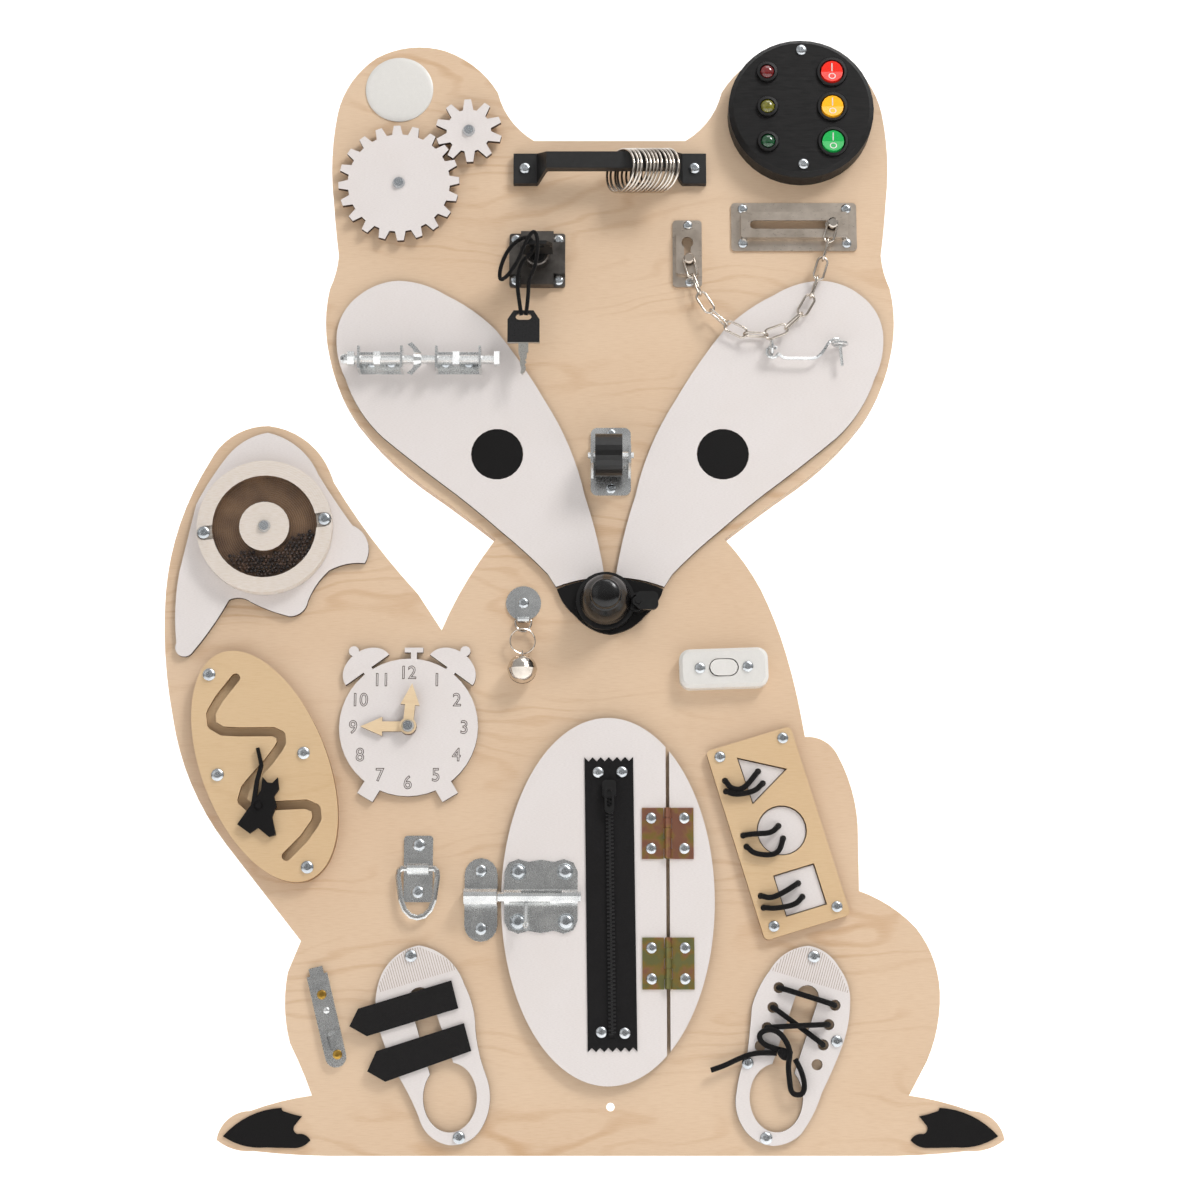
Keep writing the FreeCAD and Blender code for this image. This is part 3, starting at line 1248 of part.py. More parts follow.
def hinge_leaf(side, row):
    """One leaf with its share of the knuckles, bored for the pin."""
    step = HINGE_LONG / KNUCKLES
    edge = KNUCKLE_R + 0.5
    leaf = Part.makeBox(HINGE_HALF_WIDE - edge, HINGE_LONG, LEAF_THICK,
                        V(edge if side > 0 else -HINGE_HALF_WIDE, -HINGE_LONG / 2, BELLY_FRONT))
    z = hinge_axis_z()
    for index in range(KNUCKLES):
        if (index % 2 == 0) != (side > 0):
            continue
        low = -HINGE_LONG / 2 + index * step + 0.15
        leaf = leaf.fuse(cylinder(KNUCKLE_R, step - 0.3, V(0, low, z), V(0, 1, 0), 12))
        start = 0 if side > 0 else -edge
        leaf = leaf.fuse(Part.makeBox(edge, step - 0.3, LEAF_THICK, V(start, low, BELLY_FRONT)))
    bore = cylinder(PIN_R + PIN_GAP, HINGE_LONG + 2, V(0, -HINGE_LONG / 2 - 1, z), V(0, 1, 0))
    return moved(leaf.cut(bore).removeSplitter(), HINGE_X, row)


def hinge_fixed_leaves():
    """The leaves on the fixed part of the belly, with the pins they hold."""
    return [hinge_leaf(1, row) for row in HINGE_ROWS] + hinge_pins()


def hinge_door_leaves():
    return [hinge_leaf(-1, row) for row in HINGE_ROWS]


def hinge_pins():
    return [cylinder(PIN_R, HINGE_LONG, V(HINGE_X, row - HINGE_LONG / 2, hinge_axis_z()), V(0, 1, 0))
            for row in HINGE_ROWS]


def zipper_tape():
    """Two tapes with pinked ends, and the closed teeth between them."""
    width, length, thick = ZIP_TAPE
    half = width / 2
    teeth = 6
    top = [(half - width * i / (2 * teeth), length / 2 - (3.0 if i % 2 else 0)) for i in range(2 * teeth + 1)]
    bottom = [(x, -y) for x, y in reversed(top)]
    tape = polygon_plate(top + bottom, 0, thick)
    bar = moved(block(*ZIP_TEETH, thick), 0, -2.5)
    both = tape.fuse(bar)
    return [moved(both, *ZIP_AT, BELLY_FRONT, ZIP_TILT)]


def zipper_slider():
    """The slider that straddles the teeth, with its pull lying down the tape."""
    width, length, high = ZIP_SLIDER
    low = ZIP_TAPE[2] + 0.3
    body = round_plate(width, length, high - 1.2, 2.6, low)
    teeth_w, _, teeth_t = ZIP_TEETH
    body = body.cut(block(teeth_w + 0.8, length + 2, teeth_t + 0.3, low - 0.3))
    pull = slot_plate(7.0, ZIP_PULL_LONG, 1.6, low + high - 1.2)
    pull = pull.cut(slot_plate(3.6, ZIP_PULL_LONG - 9, 3, low + high - 2))
    slider = body.fuse(moved(pull, 0, -ZIP_PULL_LONG / 2 + 4)).removeSplitter()
    at = 226.5 - ZIP_AT[1]
    tilt = math.radians(ZIP_TILT)
    x, y = ZIP_AT[0] - at * math.sin(tilt), ZIP_AT[1] + at * math.cos(tilt)
    return [moved(slider, x, y, BELLY_FRONT, ZIP_TILT)]


def bolt_axis():
    return V(0, BOLT_AT[1] - 0.8, FRONT + BOLT_AXIS_OUT)


def door_bolt_case():
    """The wavy plate with the tube that guides the rod, and the slots for its handle."""
    width, length, thick = BOLT_PLATE
    half, top = width / 2, length / 2
    edge = [(-half, 0), (-half, top - 9), (-half + 3, top - 2.5), (-half + 10, top), (-half + 17, top - 2),
            (0, top - 0.4), (half - 17, top - 2), (half - 10, top), (half - 3, top - 2.5), (half, top - 9),
            (half, 0)]
    outline = edge + [(x, -y) for x, y in reversed(edge[1:-1])]
    plate = moved(polygon_plate(outline, 0, thick), *BOLT_AT, BELLY_FRONT)
    axis = bolt_axis()
    left = BOLT_AT[0] - half
    tube = cylinder(BOLT_TUBE_R, width, V(left, axis.y, axis.z), V(1, 0, 0))
    web = Part.makeBox(width, 2 * BOLT_TUBE_R, axis.z - BELLY_FRONT, V(left, axis.y - BOLT_TUBE_R, BELLY_FRONT))
    case = plate.fuse(tube).fuse(web)
    case = case.cut(cylinder(BOLT_ROD_R + 0.2, width + 2, V(left - 1, axis.y, axis.z), V(1, 0, 0)))
    window = Part.makeBox(29, 4.4, 8, V(BOLT_HANDLE_X - 3.5, axis.y + 0.2, axis.z + 2))
    start = BOLT_HANDLE_X - BOLT_THROW_IN - BOLT_HANDLE_R - 0.5
    run = BOLT_THROW_IN + BOLT_THROW_OUT + 2 * BOLT_HANDLE_R + 1.0
    slot = Part.makeBox(run, 9, 2 * BOLT_HANDLE_R + 1.0, V(start, -9, -BOLT_HANDLE_R - 0.5))
    slot.rotate(V(0, 0, 0), V(1, 0, 0), -BOLT_HANDLE_RISE)
    case = case.cut(window).cut(moved(slot, 0, axis.y, axis.z))
    return [case.removeSplitter()]


def door_bolt_rod():
    """The round rod with its bent handle and ball."""
    axis = bolt_axis()
    rod = cylinder(BOLT_ROD_R, BOLT_ROD[1] - BOLT_ROD[0], V(BOLT_ROD[0], axis.y, axis.z), V(1, 0, 0))
    rise = math.radians(BOLT_HANDLE_RISE)
    away = V(0, -math.cos(rise), math.sin(rise))
    foot = V(BOLT_HANDLE_X, axis.y, axis.z)
    arm = cylinder(BOLT_HANDLE_R, BOLT_HANDLE_LONG, foot, away)
    ball = turned([(1.2, -2.2), (2.4, 0), (1.2, 2.2)])
    ball.Placement = FreeCAD.Placement(foot + away * BOLT_HANDLE_LONG, FreeCAD.Rotation(V(0, 0, 1), away))
    return [rod.fuse(arm).fuse(ball).removeSplitter()]


def door_bolt_keeper():
    """The arched strap on the board that the rod slides into."""
    x, y, width, length, thick = BOLT_KEEPER
    strap = moved(slot_plate(width, length, thick), x, y, FRONT)
    axis = bolt_axis()
    inner = BOLT_ROD_R + 0.6
    outer = inner + BOLT_KEEPER_WALL
    left = x - width / 2
    arch = cylinder(outer, width, V(left, axis.y, axis.z), V(1, 0, 0))
    arch = arch.fuse(Part.makeBox(width, 2 * outer, axis.z - FRONT, V(left, axis.y - outer, FRONT)))
    hollow = cylinder(inner, width + 2, V(left - 1, axis.y, axis.z), V(1, 0, 0))
    hollow = hollow.fuse(Part.makeBox(width + 2, 2 * inner, axis.z - FRONT + 1, V(left - 1, axis.y - inner, FRONT - 1)))
    return strap.fuse(arch).cut(hollow).removeSplitter()


def lashing_plate():
    """The plate with the barrel that holds the ring's pin."""
    width, length, thick = LASH_PLATE
    plate = round_plate(width, length, thick, 2.5)
    outer = LASH_PIN_R + LASH_BARREL_WALL + 0.2
    half = LASH_BARREL_LONG / 2
    barrel = cylinder(outer, LASH_BARREL_LONG, V(-half, 0, LASH_OUT), V(1, 0, 0))
    barrel = barrel.fuse(Part.makeBox(LASH_BARREL_LONG, 2 * outer, LASH_OUT, V(-half, -outer, 0)))
    plate = plate.fuse(barrel)
    plate = plate.cut(cylinder(LASH_PIN_R + 0.2, width, V(-width / 2, 0, LASH_OUT), V(1, 0, 0)))
    return moved(plate.removeSplitter(), *LASH_AT, FRONT)


def lashing_ring():
    """The closed D ring, its straight side running through the barrel."""
    half = LASH_RING_WIDE / 2
    low = -LASH_RING_LONG
    route = [V(-half + 2.5, 0, 0), V(half - 2.5, 0, 0), V(half - 0.6, -1.8, 0), V(half, -6, 0),
             V(half - 2.2, low + 13, 0), V(half - 5.0, low + 5.6, 0), V(half - 9.4, low + 1.2, 0),
             V(0, low, 0), V(-half + 9.4, low + 1.2, 0), V(-half + 5.0, low + 5.6, 0),
             V(-half + 2.2, low + 13, 0), V(-half, -6, 0), V(-half + 0.6, -1.8, 0)]
    ring = mitred_tube(route, LASH_PIN_R, 8, closed=True)
    return [moved(ring, *LASH_AT, FRONT + LASH_OUT)]


def to_board(u, v):
    """A point given along the tilted frame's own sides, in the board's x and y."""
    tilt = math.radians(FRAME_TILT)
    return (FRAME_AT[0] + u * math.cos(tilt) - v * math.sin(tilt),
            FRAME_AT[1] + u * math.sin(tilt) + v * math.cos(tilt))


LACE_FRAME = (((83.5, 232.9), (84.2, 225.1)), ((96.3, 193.0), (98.6, 184.9)), ((108.5, 149.4), (110.4, 140.9)))
LACE_SHAPE = (((107.6, 240.0), (111.0, 231.2)), ((121.9, 200.1), (125.2, 191.1)), ((135.6, 158.6), (138.5, 148.9)))
LACE_SAG = (
    (((87.5, 226.6), (96.8, 226.0)), ((90.0, 222.2), (104.5, 224.4))),
    (((105.0, 194.0), (116.6, 194.4)), ((104.2, 179.0), (121.2, 178.4))),
    (((115.5, 147.2), (125.5, 152.0)), ((118.0, 140.0), (133.0, 142.6))),
)


def shape_opening(index, grow):
    """The cut-out for a shape; grow 0 is the opening itself and less than 0 the loose piece."""
    if index == 1:
        return disc(*CIRCLE_AT, FRONT, SHAPE_CIRCLE_R + grow, FRAME_THICK)
    if index == 2:
        side = SHAPE_SQUARE + 2 * grow
        return moved(block(side, side, FRAME_THICK), *SQUARE_AT, FRONT, FRAME_TILT)
    corners = [V(x, y, 0) for x, y in TRIANGLE]
    face = Part.Wire(Part.makePolygon(corners + corners[:1]))
    if grow:
        face = face.makeOffset2D(grow)
    return moved(Part.Face(face).extrude(V(0, 0, FRAME_THICK)), z=FRONT)


def lace_holes(points, z, thick):
    holes = [disc(x, y, z, LACE_HOLE_R, thick) for x, y in points]
    return holes[0].fuse(holes[1])


def shape_frame():
    frame = moved(round_plate(*FRAME_SIZE, FRAME_THICK, FRAME_CORNER), *FRAME_AT, FRONT, FRAME_TILT)
    for index in range(3):
        frame = frame.cut(shape_opening(index, 0.0))
        frame = frame.cut(lace_holes(LACE_FRAME[index], FRONT, FRAME_THICK))
    return [frame]


def loose_shape(index):
    piece = shape_opening(index, -SHAPE_GAP)
    piece = piece.common(Part.makeBox(200, 200, PLATE_THICK, V(40, 90, FRONT)))
    return [piece.cut(lace_holes(LACE_SHAPE[index], FRONT, PLATE_THICK))]


def shape_triangle():
    return loose_shape(0)


def shape_circle():
    return loose_shape(1)


def shape_square():
    return loose_shape(2)


def shape_cords(index):
    """The two short cords that tie one shape to the frame."""
    top = FRONT + FRAME_THICK
    cords = []
    for start, sag, end in zip(LACE_FRAME[index], LACE_SAG[index], LACE_SHAPE[index]):
        route = [(*start, top - 3), (*start, top + 3.4)]
        route += [(*point, top + 3.4) for point in sag]
        route += [(*end, top + 3.2), (*end, FRONT + PLATE_THICK - 3)]
        cords.append(mitred_tube(rounded_route(route, 2), LACE_R, 5))
    return cords


def tie_cords():
    """All six cords that tie the shapes to the frame."""
    return shape_cords(0) + shape_cords(1) + shape_cords(2)


def latch_case():
    """A long narrow case with one round end, open at the top for its tongue."""
    width, length, thick = LATCH_SIZE
    case = slot_plate(width, length + width / 2, thick)
    case = moved(case, 0, width / 4).cut(Part.makeBox(40, 40, 20, V(-20, length / 2, -5)))
    tongue_w, tongue_t = LATCH_TONGUE
    tunnel = Part.makeBox(tongue_w + 0.6, length - width, tongue_t + 0.4,
                          V(-tongue_w / 2 - 0.3, -length / 2 + width, LATCH_WALL - 0.2))
    window = Part.makeBox(6.0, 15.0, thick, V(-3.0, -21.0, LATCH_WALL))
    return moved(case.cut(tunnel).cut(window), *LATCH_AT, FRONT, LATCH_TILT)


def keeper_and_case():
    """The two fixed guides on the lower board: the door bolt's keeper and the slide latch's case."""
    return [door_bolt_keeper(), latch_case()]


def latch_bolt():
    """The flat tongue with the thumb tab that stands up through the window."""
    width, length, thick = LATCH_SIZE
    tongue_w, tongue_t = LATCH_TONGUE
    low = -10.0
    tongue = Part.makeBox(tongue_w, length / 2 + LATCH_TONGUE_OUT - low, tongue_t, V(-tongue_w / 2, low, LATCH_WALL))
    tab = Part.makeBox(5.4, 1.6, 5.0, V(-2.7, -9.0, LATCH_WALL))
    wing = Part.makeBox(11.0, 1.6, 1.6, V(-5.5, -9.0, thick + 0.6))
    return [moved(tongue.fuse(tab).fuse(wing).removeSplitter(), *LATCH_AT, FRONT, LATCH_TILT)]


LEFT_SOLE = [(-137.8, 114.1), (-119.0, 106.1), (-104.8, 86.0), (-98.4, 69.1), (-96.7, 55.3), (-94.3, 40.0),
             (-88.7, 21.8), (-85.8, 5.1), (-91.5, -14.6), (-102.1, -24.4), (-114.4, -26.6), (-126.8, -21.4),
             (-136.2, -7.0), (-144.1, 9.6), (-151.3, 21.8), (-160.0, 40.0), (-165.7, 55.3), (-168.3, 70.6),
             (-166.3, 87.6), (-157.9, 103.0)]
RIGHT_SOLE = [(142.5, 113.8), (154.1, 109.4), (164.4, 97.9), (170.5, 85.3), (171.6, 72.8), (170.0, 58.3),
              (165.5, 42.8), (157.9, 25.3), (150.3, 9.9), (143.8, -5.5), (135.3, -18.7), (125.8, -24.9),
              (115.4, -27.1), (104.0, -23.8), (93.7, -13.6), (89.1, 0.7), (89.8, 10.9), (93.1, 26.3),
              (97.9, 38.7), (100.2, 58.3), (101.4, 70.8), (106.3, 83.3), (114.9, 96.8), (124.5, 107.3)]


def shoe_plates():
    """Two flat shoes, each with a tongue slot that opens into the foot hole."""
    left = smooth_plate(LEFT_SOLE, FRONT, PLATE_THICK)
    left = left.cut(ellipse_plate((-114.2, 6.6), (19.2, 24.4), FRONT, PLATE_THICK))
    left = left.cut(disc(-136.6, 76.6, FRONT, 7.8, PLATE_THICK))
    left = left.cut(polygon_plate([(-144.3, 75), (-129.2, 78.2), (-109.5, 24), (-128.5, 22)], FRONT, PLATE_THICK))
    right = smooth_plate(RIGHT_SOLE, FRONT, PLATE_THICK)
    right = right.cut(ellipse_plate((117.9, 6.3), (19.0, 24.0), FRONT, PLATE_THICK))
    right = right.cut(disc(141.2, 77.6, FRONT, 8.2, PLATE_THICK))
    right = right.cut(polygon_plate([(133.2, 79.5), (149.2, 76.0), (130.5, 22), (112.5, 22)], FRONT, PLATE_THICK))
    for x, y in EYELETS_LEFT + EYELETS_RIGHT:
        right = right.cut(disc(x, y, FRONT, EYELET_R, PLATE_THICK))
    return [left, right]


def strap(index):
    """A flat strap with a pointed free end; it is fixed along its right edge."""
    return [polygon_plate(STRAPS[index], PLATE_FRONT + 0.3, STRAP_THICK)]


def upper_strap():
    return strap(0)


def lower_strap():
    return strap(1)


def eyelet_run(start, end, rise):
    """One lace from eyelet to eyelet, diving into both."""
    middle = [((start[i] * (1 - t) + end[i] * t)) for t in (0.3, 0.7) for i in (0, 1)]
    top = PLATE_FRONT + LACE_R + 0.3
    route = [(*start, PLATE_FRONT - 3.0), (*start, top + 0.4), (middle[0], middle[1], top + rise),
             (middle[2], middle[3], top + rise + 0.2), (*end, top + 0.3), (*end, PLATE_FRONT - 3.0)]
    return mitred_tube(rounded_route(route, 2), LACE_R, 5)


def shoe_laces():
    """The laces across the right shoe, and the loops and tail of the bow."""
    return lace_bow() + [eyelet_run(EYELETS_LEFT[0], EYELETS_RIGHT[0], 1.0),
            eyelet_run(EYELETS_LEFT[1], EYELETS_RIGHT[2], 1.0),
            eyelet_run(EYELETS_LEFT[2], EYELETS_RIGHT[1], 5.6)]


BOW_LOOP = [(124.6, 39.2, 8.0), (115.5, 41.2, 7.5), (108.0, 44.5, 7.0), (105.4, 50.5, 6.8), (111.2, 54.6, 8.2),
            (119.2, 53.2, 10.8), (125.4, 45.5, 12.2), (127.8, 37.6, 13.2), (126.0, 29.0, 12.0),
            (127.0, 19.0, 9.6), (128.4, 8.4, 7.6), (138.0, 8.4, 7.6), (137.2, 23.0, 10.0), (131.2, 33.4, 10.2)]
LACE_TAIL = [(118.6, 37.6, 7.2), (108.2, 38.2, 6.6), (98.2, 36.6, 6.4), (88.4, 32.4, 6.4), (79.6, 28.2, 6.6),
             (71.5, 25.7, 7.0)]


def lace_bow():
    route = [(x, y, FRONT + z) for x, y, z in BOW_LOOP]
    tail = [(x, y, FRONT + z) for x, y, z in LACE_TAIL]
    return [mitred_tube(rounded_route(route, 2), LACE_R, 5), mitred_tube(rounded_route(tail, 2), LACE_R, 5)]


NODES = [board, white_plates, black_patches, gear_large, gear_small, pivot_screws, ring_handle, rings,
         light_box, lamps_and_bezels, rocker_red, rocker_yellow, rocker_green, lock_case, lock_key,
         spare_key, key_cord, chain_plates, chain_slider, door_chain, ring_mounts, gate_hook,
         threaded_bolt, wing_nut, castor_fork, castor_wheel, bell_base, bell_gong, bell_lever,
         jingle_bell, switch_body, switch_rocker, drum_body, drum_window, drum_beads, maze_plate,
         cat_slider, clock_face, clock_hour, clock_minute, belly_fixed, door_leaf, hinge_fixed_leaves,
         hinge_door_leaves, zipper_tape, zipper_slider, door_bolt_case, door_bolt_rod, keeper_and_case,
         lashing_ring, shape_frame, shape_triangle, shape_circle, shape_square, tie_cords, latch_bolt,
         shoe_plates, upper_strap, lower_strap, shoe_laces]


def main():
    os.makedirs("parts", exist_ok=True)
    for make in NODES:
        solids = make()
        shape = solids[0] if len(solids) == 1 else Part.makeCompound(solids)
        shape.rotate(V(0, 0, 0), V(1, 0, 0), 90)
        shape.exportStep("parts/" + make.__name__ + ".step")
        print(make.__name__, len(shape.Solids), round(shape.Volume, 1), shape.isValid())


main()
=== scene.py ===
"""Looks for the wooden busy board: materials, small fasteners, cords, numbers and the studio.

Every position is given as it is on the board, in millimetres: x to the right, y up, and
h straight out from the board's front face.
"""
import json
import math
import random

import bpy
import numpy
from mathutils import Euler, Matrix, Vector


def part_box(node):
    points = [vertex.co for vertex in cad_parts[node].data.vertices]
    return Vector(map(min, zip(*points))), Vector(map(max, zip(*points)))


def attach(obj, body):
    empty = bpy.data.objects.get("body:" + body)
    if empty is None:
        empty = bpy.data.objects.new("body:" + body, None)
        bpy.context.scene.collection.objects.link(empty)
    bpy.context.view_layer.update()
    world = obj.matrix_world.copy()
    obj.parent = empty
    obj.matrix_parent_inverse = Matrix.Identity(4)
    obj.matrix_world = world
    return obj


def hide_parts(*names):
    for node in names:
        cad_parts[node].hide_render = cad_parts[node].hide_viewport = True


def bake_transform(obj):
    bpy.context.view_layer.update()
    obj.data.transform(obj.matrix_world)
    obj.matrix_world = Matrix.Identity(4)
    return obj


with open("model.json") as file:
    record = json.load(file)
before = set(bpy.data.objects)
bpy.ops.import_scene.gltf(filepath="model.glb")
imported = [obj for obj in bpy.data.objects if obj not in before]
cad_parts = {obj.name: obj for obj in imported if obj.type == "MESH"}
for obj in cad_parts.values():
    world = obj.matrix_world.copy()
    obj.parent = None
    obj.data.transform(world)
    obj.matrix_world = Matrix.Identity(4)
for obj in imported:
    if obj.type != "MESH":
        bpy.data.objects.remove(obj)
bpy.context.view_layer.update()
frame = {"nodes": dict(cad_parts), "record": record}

bl_info = {
    "name": "Busy Board Looks",
    "version": (1, 0, 0),
    "blender": (4, 5, 0),
    "location": "View3D > Sidebar > Busy Board",
    "description": "Dresses a wall-hung wooden busy board with its finishes, fasteners and cords",
    "category": "Object",
}

MM = 0.001
FRONT = 15.0
PLATE = 4.0
BELLY = 6.0
BOX = 20.0
PLY = 1.4
DRUM_AT = (-255.5, 421.0)


def at(x, y, h=0.0):
    """A place on the board, in mm, as a point of the frame, in metres."""
    return Vector((x * MM, -(FRONT + h) * MM, y * MM))


# ---- settings that a user would change


class BoardColours(bpy.types.PropertyGroup):
    """Colours of the woods and the paints."""
    birch: bpy.props.StringProperty(name="Birch", description="Varnished birch", default="DFC3A5")
    birch_dark: bpy.props.StringProperty(name="Birch grain", description="Late wood", default="C8A27C")
    white: bpy.props.StringProperty(name="White", description="Painted plate faces", default="E3DCD9")
    scorch: bpy.props.StringProperty(name="Scorch", description="Edge of cut plates", default="241914")
    black: bpy.props.StringProperty(name="Black", description="Black plates", default="0C0A0A")


class BoardSizes(bpy.types.PropertyGroup):
    """Sizes of the small pieces that only the looks have."""
    screw_radius: bpy.props.FloatProperty(name="Screw head", description="Radius of a pan head",
                                          default=0.0042, unit="LENGTH", subtype="DISTANCE")
    badge_radius: bpy.props.FloatProperty(name="Badge", description="Radius of the blank badge",
                                          default=0.026, unit="LENGTH", subtype="DISTANCE")
    bead_radius: bpy.props.FloatProperty(name="Bead", description="Radius of a bead in the drum",
                                         default=0.00165, unit="LENGTH", subtype="DISTANCE")
    tooth_pitch: bpy.props.FloatProperty(name="Tooth pitch", description="From one zip tooth to the next",
                                         default=0.0028, unit="LENGTH", subtype="DISTANCE")


def colours():
    return bpy.context.scene.board_colours


def sizes():
    return bpy.context.scene.board_sizes


def linear(code):
    """An sRGB hex colour as linear RGBA."""
    parts = [int(code[i:i + 2], 16) / 255 for i in (0, 2, 4)]
    return tuple(p / 12.92 if p <= 0.04045 else ((p + 0.055) / 1.055) ** 2.4 for p in parts) + (1.0,)


class Nodes:
    """Builds nodes in one tree. A value is a number, a vector, an sRGB hex code or a node's output."""

    def __init__(self, tree):
        self.tree = tree

    def fill(self, socket, value):
        if isinstance(value, bpy.types.NodeSocket):
            self.tree.links.new(value, socket)
        else:
            socket.default_value = linear(value) if isinstance(value, str) else value

    def add(self, kind, sockets, **settings):
        new = self.tree.nodes.new("ShaderNode" + kind)
        for name, value in settings.items():
            setattr(new, name, value)
        for name, value in sockets.items():
            self.fill(new.inputs[name], value)
        return new

    def maths(self, operation, first, second=0.5, clamp=False):
        return self.add("Math", {0: first, 1: second}, operation=operation, use_clamp=clamp).outputs[0]

    def vector(self, operation, first, second):
        return self.add("VectorMath", {0: first, 1: second}, operation=operation).outputs[0]

    def axes(self, place):
        return self.add("SeparateXYZ", {0: place}).outputs

    def waves(self, value, pitch):
        """A sine of the value, one wave for each pitch."""
        return self.maths("SINE", self.maths("MULTIPLY", value, 2 * math.pi / pitch))

    def grade(self, value, low, high, out_low, out_high):
        """A number carried from one range to another."""
        return self.add("MapRange", {0: value, 1: low, 2: high, 3: out_low, 4: out_high}).outputs[0]

    def mixed(self, factor, first, second):
        """Two colours mixed."""
        return self.add("Mix", {0: factor, 6: first, 7: second}, data_type="RGBA").outputs[2]

    def faded(self, value, low, high, most, first, second):
        """The first colour where the value is low, and up to that share of the second where it is high."""
        return self.mixed(self.grade(value, low, high, 0.0, most), first, second)

    def ramp(self, value, stops):
        """A colour ramp of (position, sRGB hex) stops."""
        made = self.add("ValToRGB", {0: value})
        marks = made.color_ramp.elements
        while len(marks) < len(stops):
            marks.new(0.5)
        for mark, (position, code) in zip(marks, stops):
            mark.position = position
            mark.color = linear(code)
        return made.outputs[0]


class Finish(Nodes):
    """A new material, with its shader and the place on the piece in mm."""

    def __init__(self, name):
        self.made = bpy.data.materials.new(name)
        self.made.use_nodes = True
        super().__init__(self.made.node_tree)
        self.shader = self.tree.nodes["Principled BSDF"]
        self.spot = self.add("TexCoord", {}).outputs
        self.place = self.vector("MULTIPLY", self.spot["Object"], (1000.0, 1000.0, 1000.0))

    def noise(self, scale, detail, rough=0.5, place=None):
        """Noise over the piece; a vector as the scale runs the pattern longer along some axes."""
        place = place or self.place
        if isinstance(scale, tuple):
            place, scale = self.vector("MULTIPLY", place, scale), 1.0
        settings = {0: place, "Scale": scale, "Detail": detail, "Roughness": rough}
        return self.add("TexNoise", settings).outputs[0]

    def facing_out(self):
        """1 on the faces that look along the board's normal, 0 on cut edges."""
        return self.maths("GREATER_THAN", self.maths("ABSOLUTE", self.axes(self.spot["Normal"])[1]), 0.7)

    def surface(self, **inputs):
        """Sets the shader's inputs, named as in Blender with _ for a space."""
        for name, value in inputs.items():
            self.fill(self.shader.inputs[name.replace("_", " ")], value)

    def bump(self, height, depth_mm, strength):
        """Relief on the surface, with its depth in mm."""
        relief = self.add("Bump", {"Strength": strength, "Distance": depth_mm * MM, "Height": height})
        self.surface(Normal=relief.outputs[0])


def birch_plywood(name, face, grain, edge, edge_dark, figure=1.0):
    """Birch plywood, sanded and varnished: a pale rotary-cut face with long, faint, wandering
    figure and fine short flecks, a soft satin sheen, and layered cut edges."""
    f = Finish(name)
    wander = f.noise((0.0035, 0.0, 0.011), 3.0)
    rings = f.maths("ADD", f.axes(f.place)[2], f.maths("MULTIPLY", wander, 210.0))
    lines = f.maths("SINE", f.maths("MULTIPLY", rings, 0.42))
    fade = f.noise((0.004, 0.0, 0.02), 2.0)
    bands = f.maths("MULTIPLY", lines, f.grade(fade, 0.42, 0.68, 0, 1))
    flecks = f.noise((0.11, 0.0, 1.7), 4.0, 0.6)
    patches = f.noise((0.004, 0.0, 0.009), 2.0)
    amount = f.maths("ADD", f.grade(bands, 0.15, 1.0, 0.0, 0.62 * figure),
                     f.grade(flecks, 0.42, 0.75, 0.0, 0.36))
    amount = f.maths("ADD", amount, f.grade(patches, 0.35, 0.7, -0.08, 0.22), True)
    layers = f.waves(f.axes(f.place)[1], 2 * PLY)
    edge_colour = f.ramp(f.grade(layers, -1, 1, 0, 1), ((0.35, edge), (0.65, edge_dark)))
    f.surface(Base_Color=f.mixed(f.facing_out(), edge_colour, f.mixed(amount, face, grain)),
              Roughness=f.grade(flecks, 0.3, 0.7, 0.42, 0.56), Coat_Weight=0.12, Coat_Roughness=0.35)
    f.bump(flecks, 0.05, 0.5)
    return f.made


def white_faced_plywood():
    """White-faced plywood, cut by a laser: a flat white film face with the faint grain of the
    ply under it, and edges burnt dark brown."""
    f = Finish("white_faced_plywood")
    grain = f.noise((0.5, 0.0, 2.6), 3.0)
    face = f.faded(grain, 0.4, 0.75, 0.5, colours().white, "D3CAC6")
    face = f.faded(f.noise(0.03, 2.0), 0.4, 0.8, 0.18, face, "D9CEC6")
    edge = f.faded(f.noise(0.35, 3.0), 0.35, 0.7, 0.6, colours().scorch, "5C4130")
    f.surface(Base_Color=f.mixed(f.facing_out(), edge, face), Roughness=f.grade(grain, 0.3, 0.8, 0.5, 0.62))
    f.bump(grain, 0.04, 0.6)
    return f.made


def black_film():
    """Black film-faced plate: satin black with a fine orange-peel and a little dust."""
    f = Finish("black_film_plate")
    peel = f.noise(1.1, 3.0)
    dust = f.add("TexVoronoi", {0: f.place, "Scale": 0.45}).outputs[0]
    f.surface(Base_Color=f.mixed(f.grade(dust, 0.0, 0.12, 0.5, 0.0), colours().black, "1F1D1D"),
              Specular_IOR_Level=0.22, Roughness=f.grade(peel, 0.3, 0.7, 0.46, 0.66))
    f.bump(peel, 0.05, 0.5)
    return f.made


def black_paint():
    """Black-painted beech: brushed satin paint that shows a little of the wood's pores."""
    f = Finish("black_painted_beech")
    pores = f.noise((0.12, 1.5, 1.5), 4.0)
    f.surface(Base_Color=f.faded(pores, 0.4, 0.8, 1.0, "0B0A0A", "1A1818"),
              Roughness=f.grade(pores, 0.3, 0.7, 0.36, 0.6), Specular_IOR_Level=0.28)
    f.bump(pores, 0.12, 0.6)
    return f.made


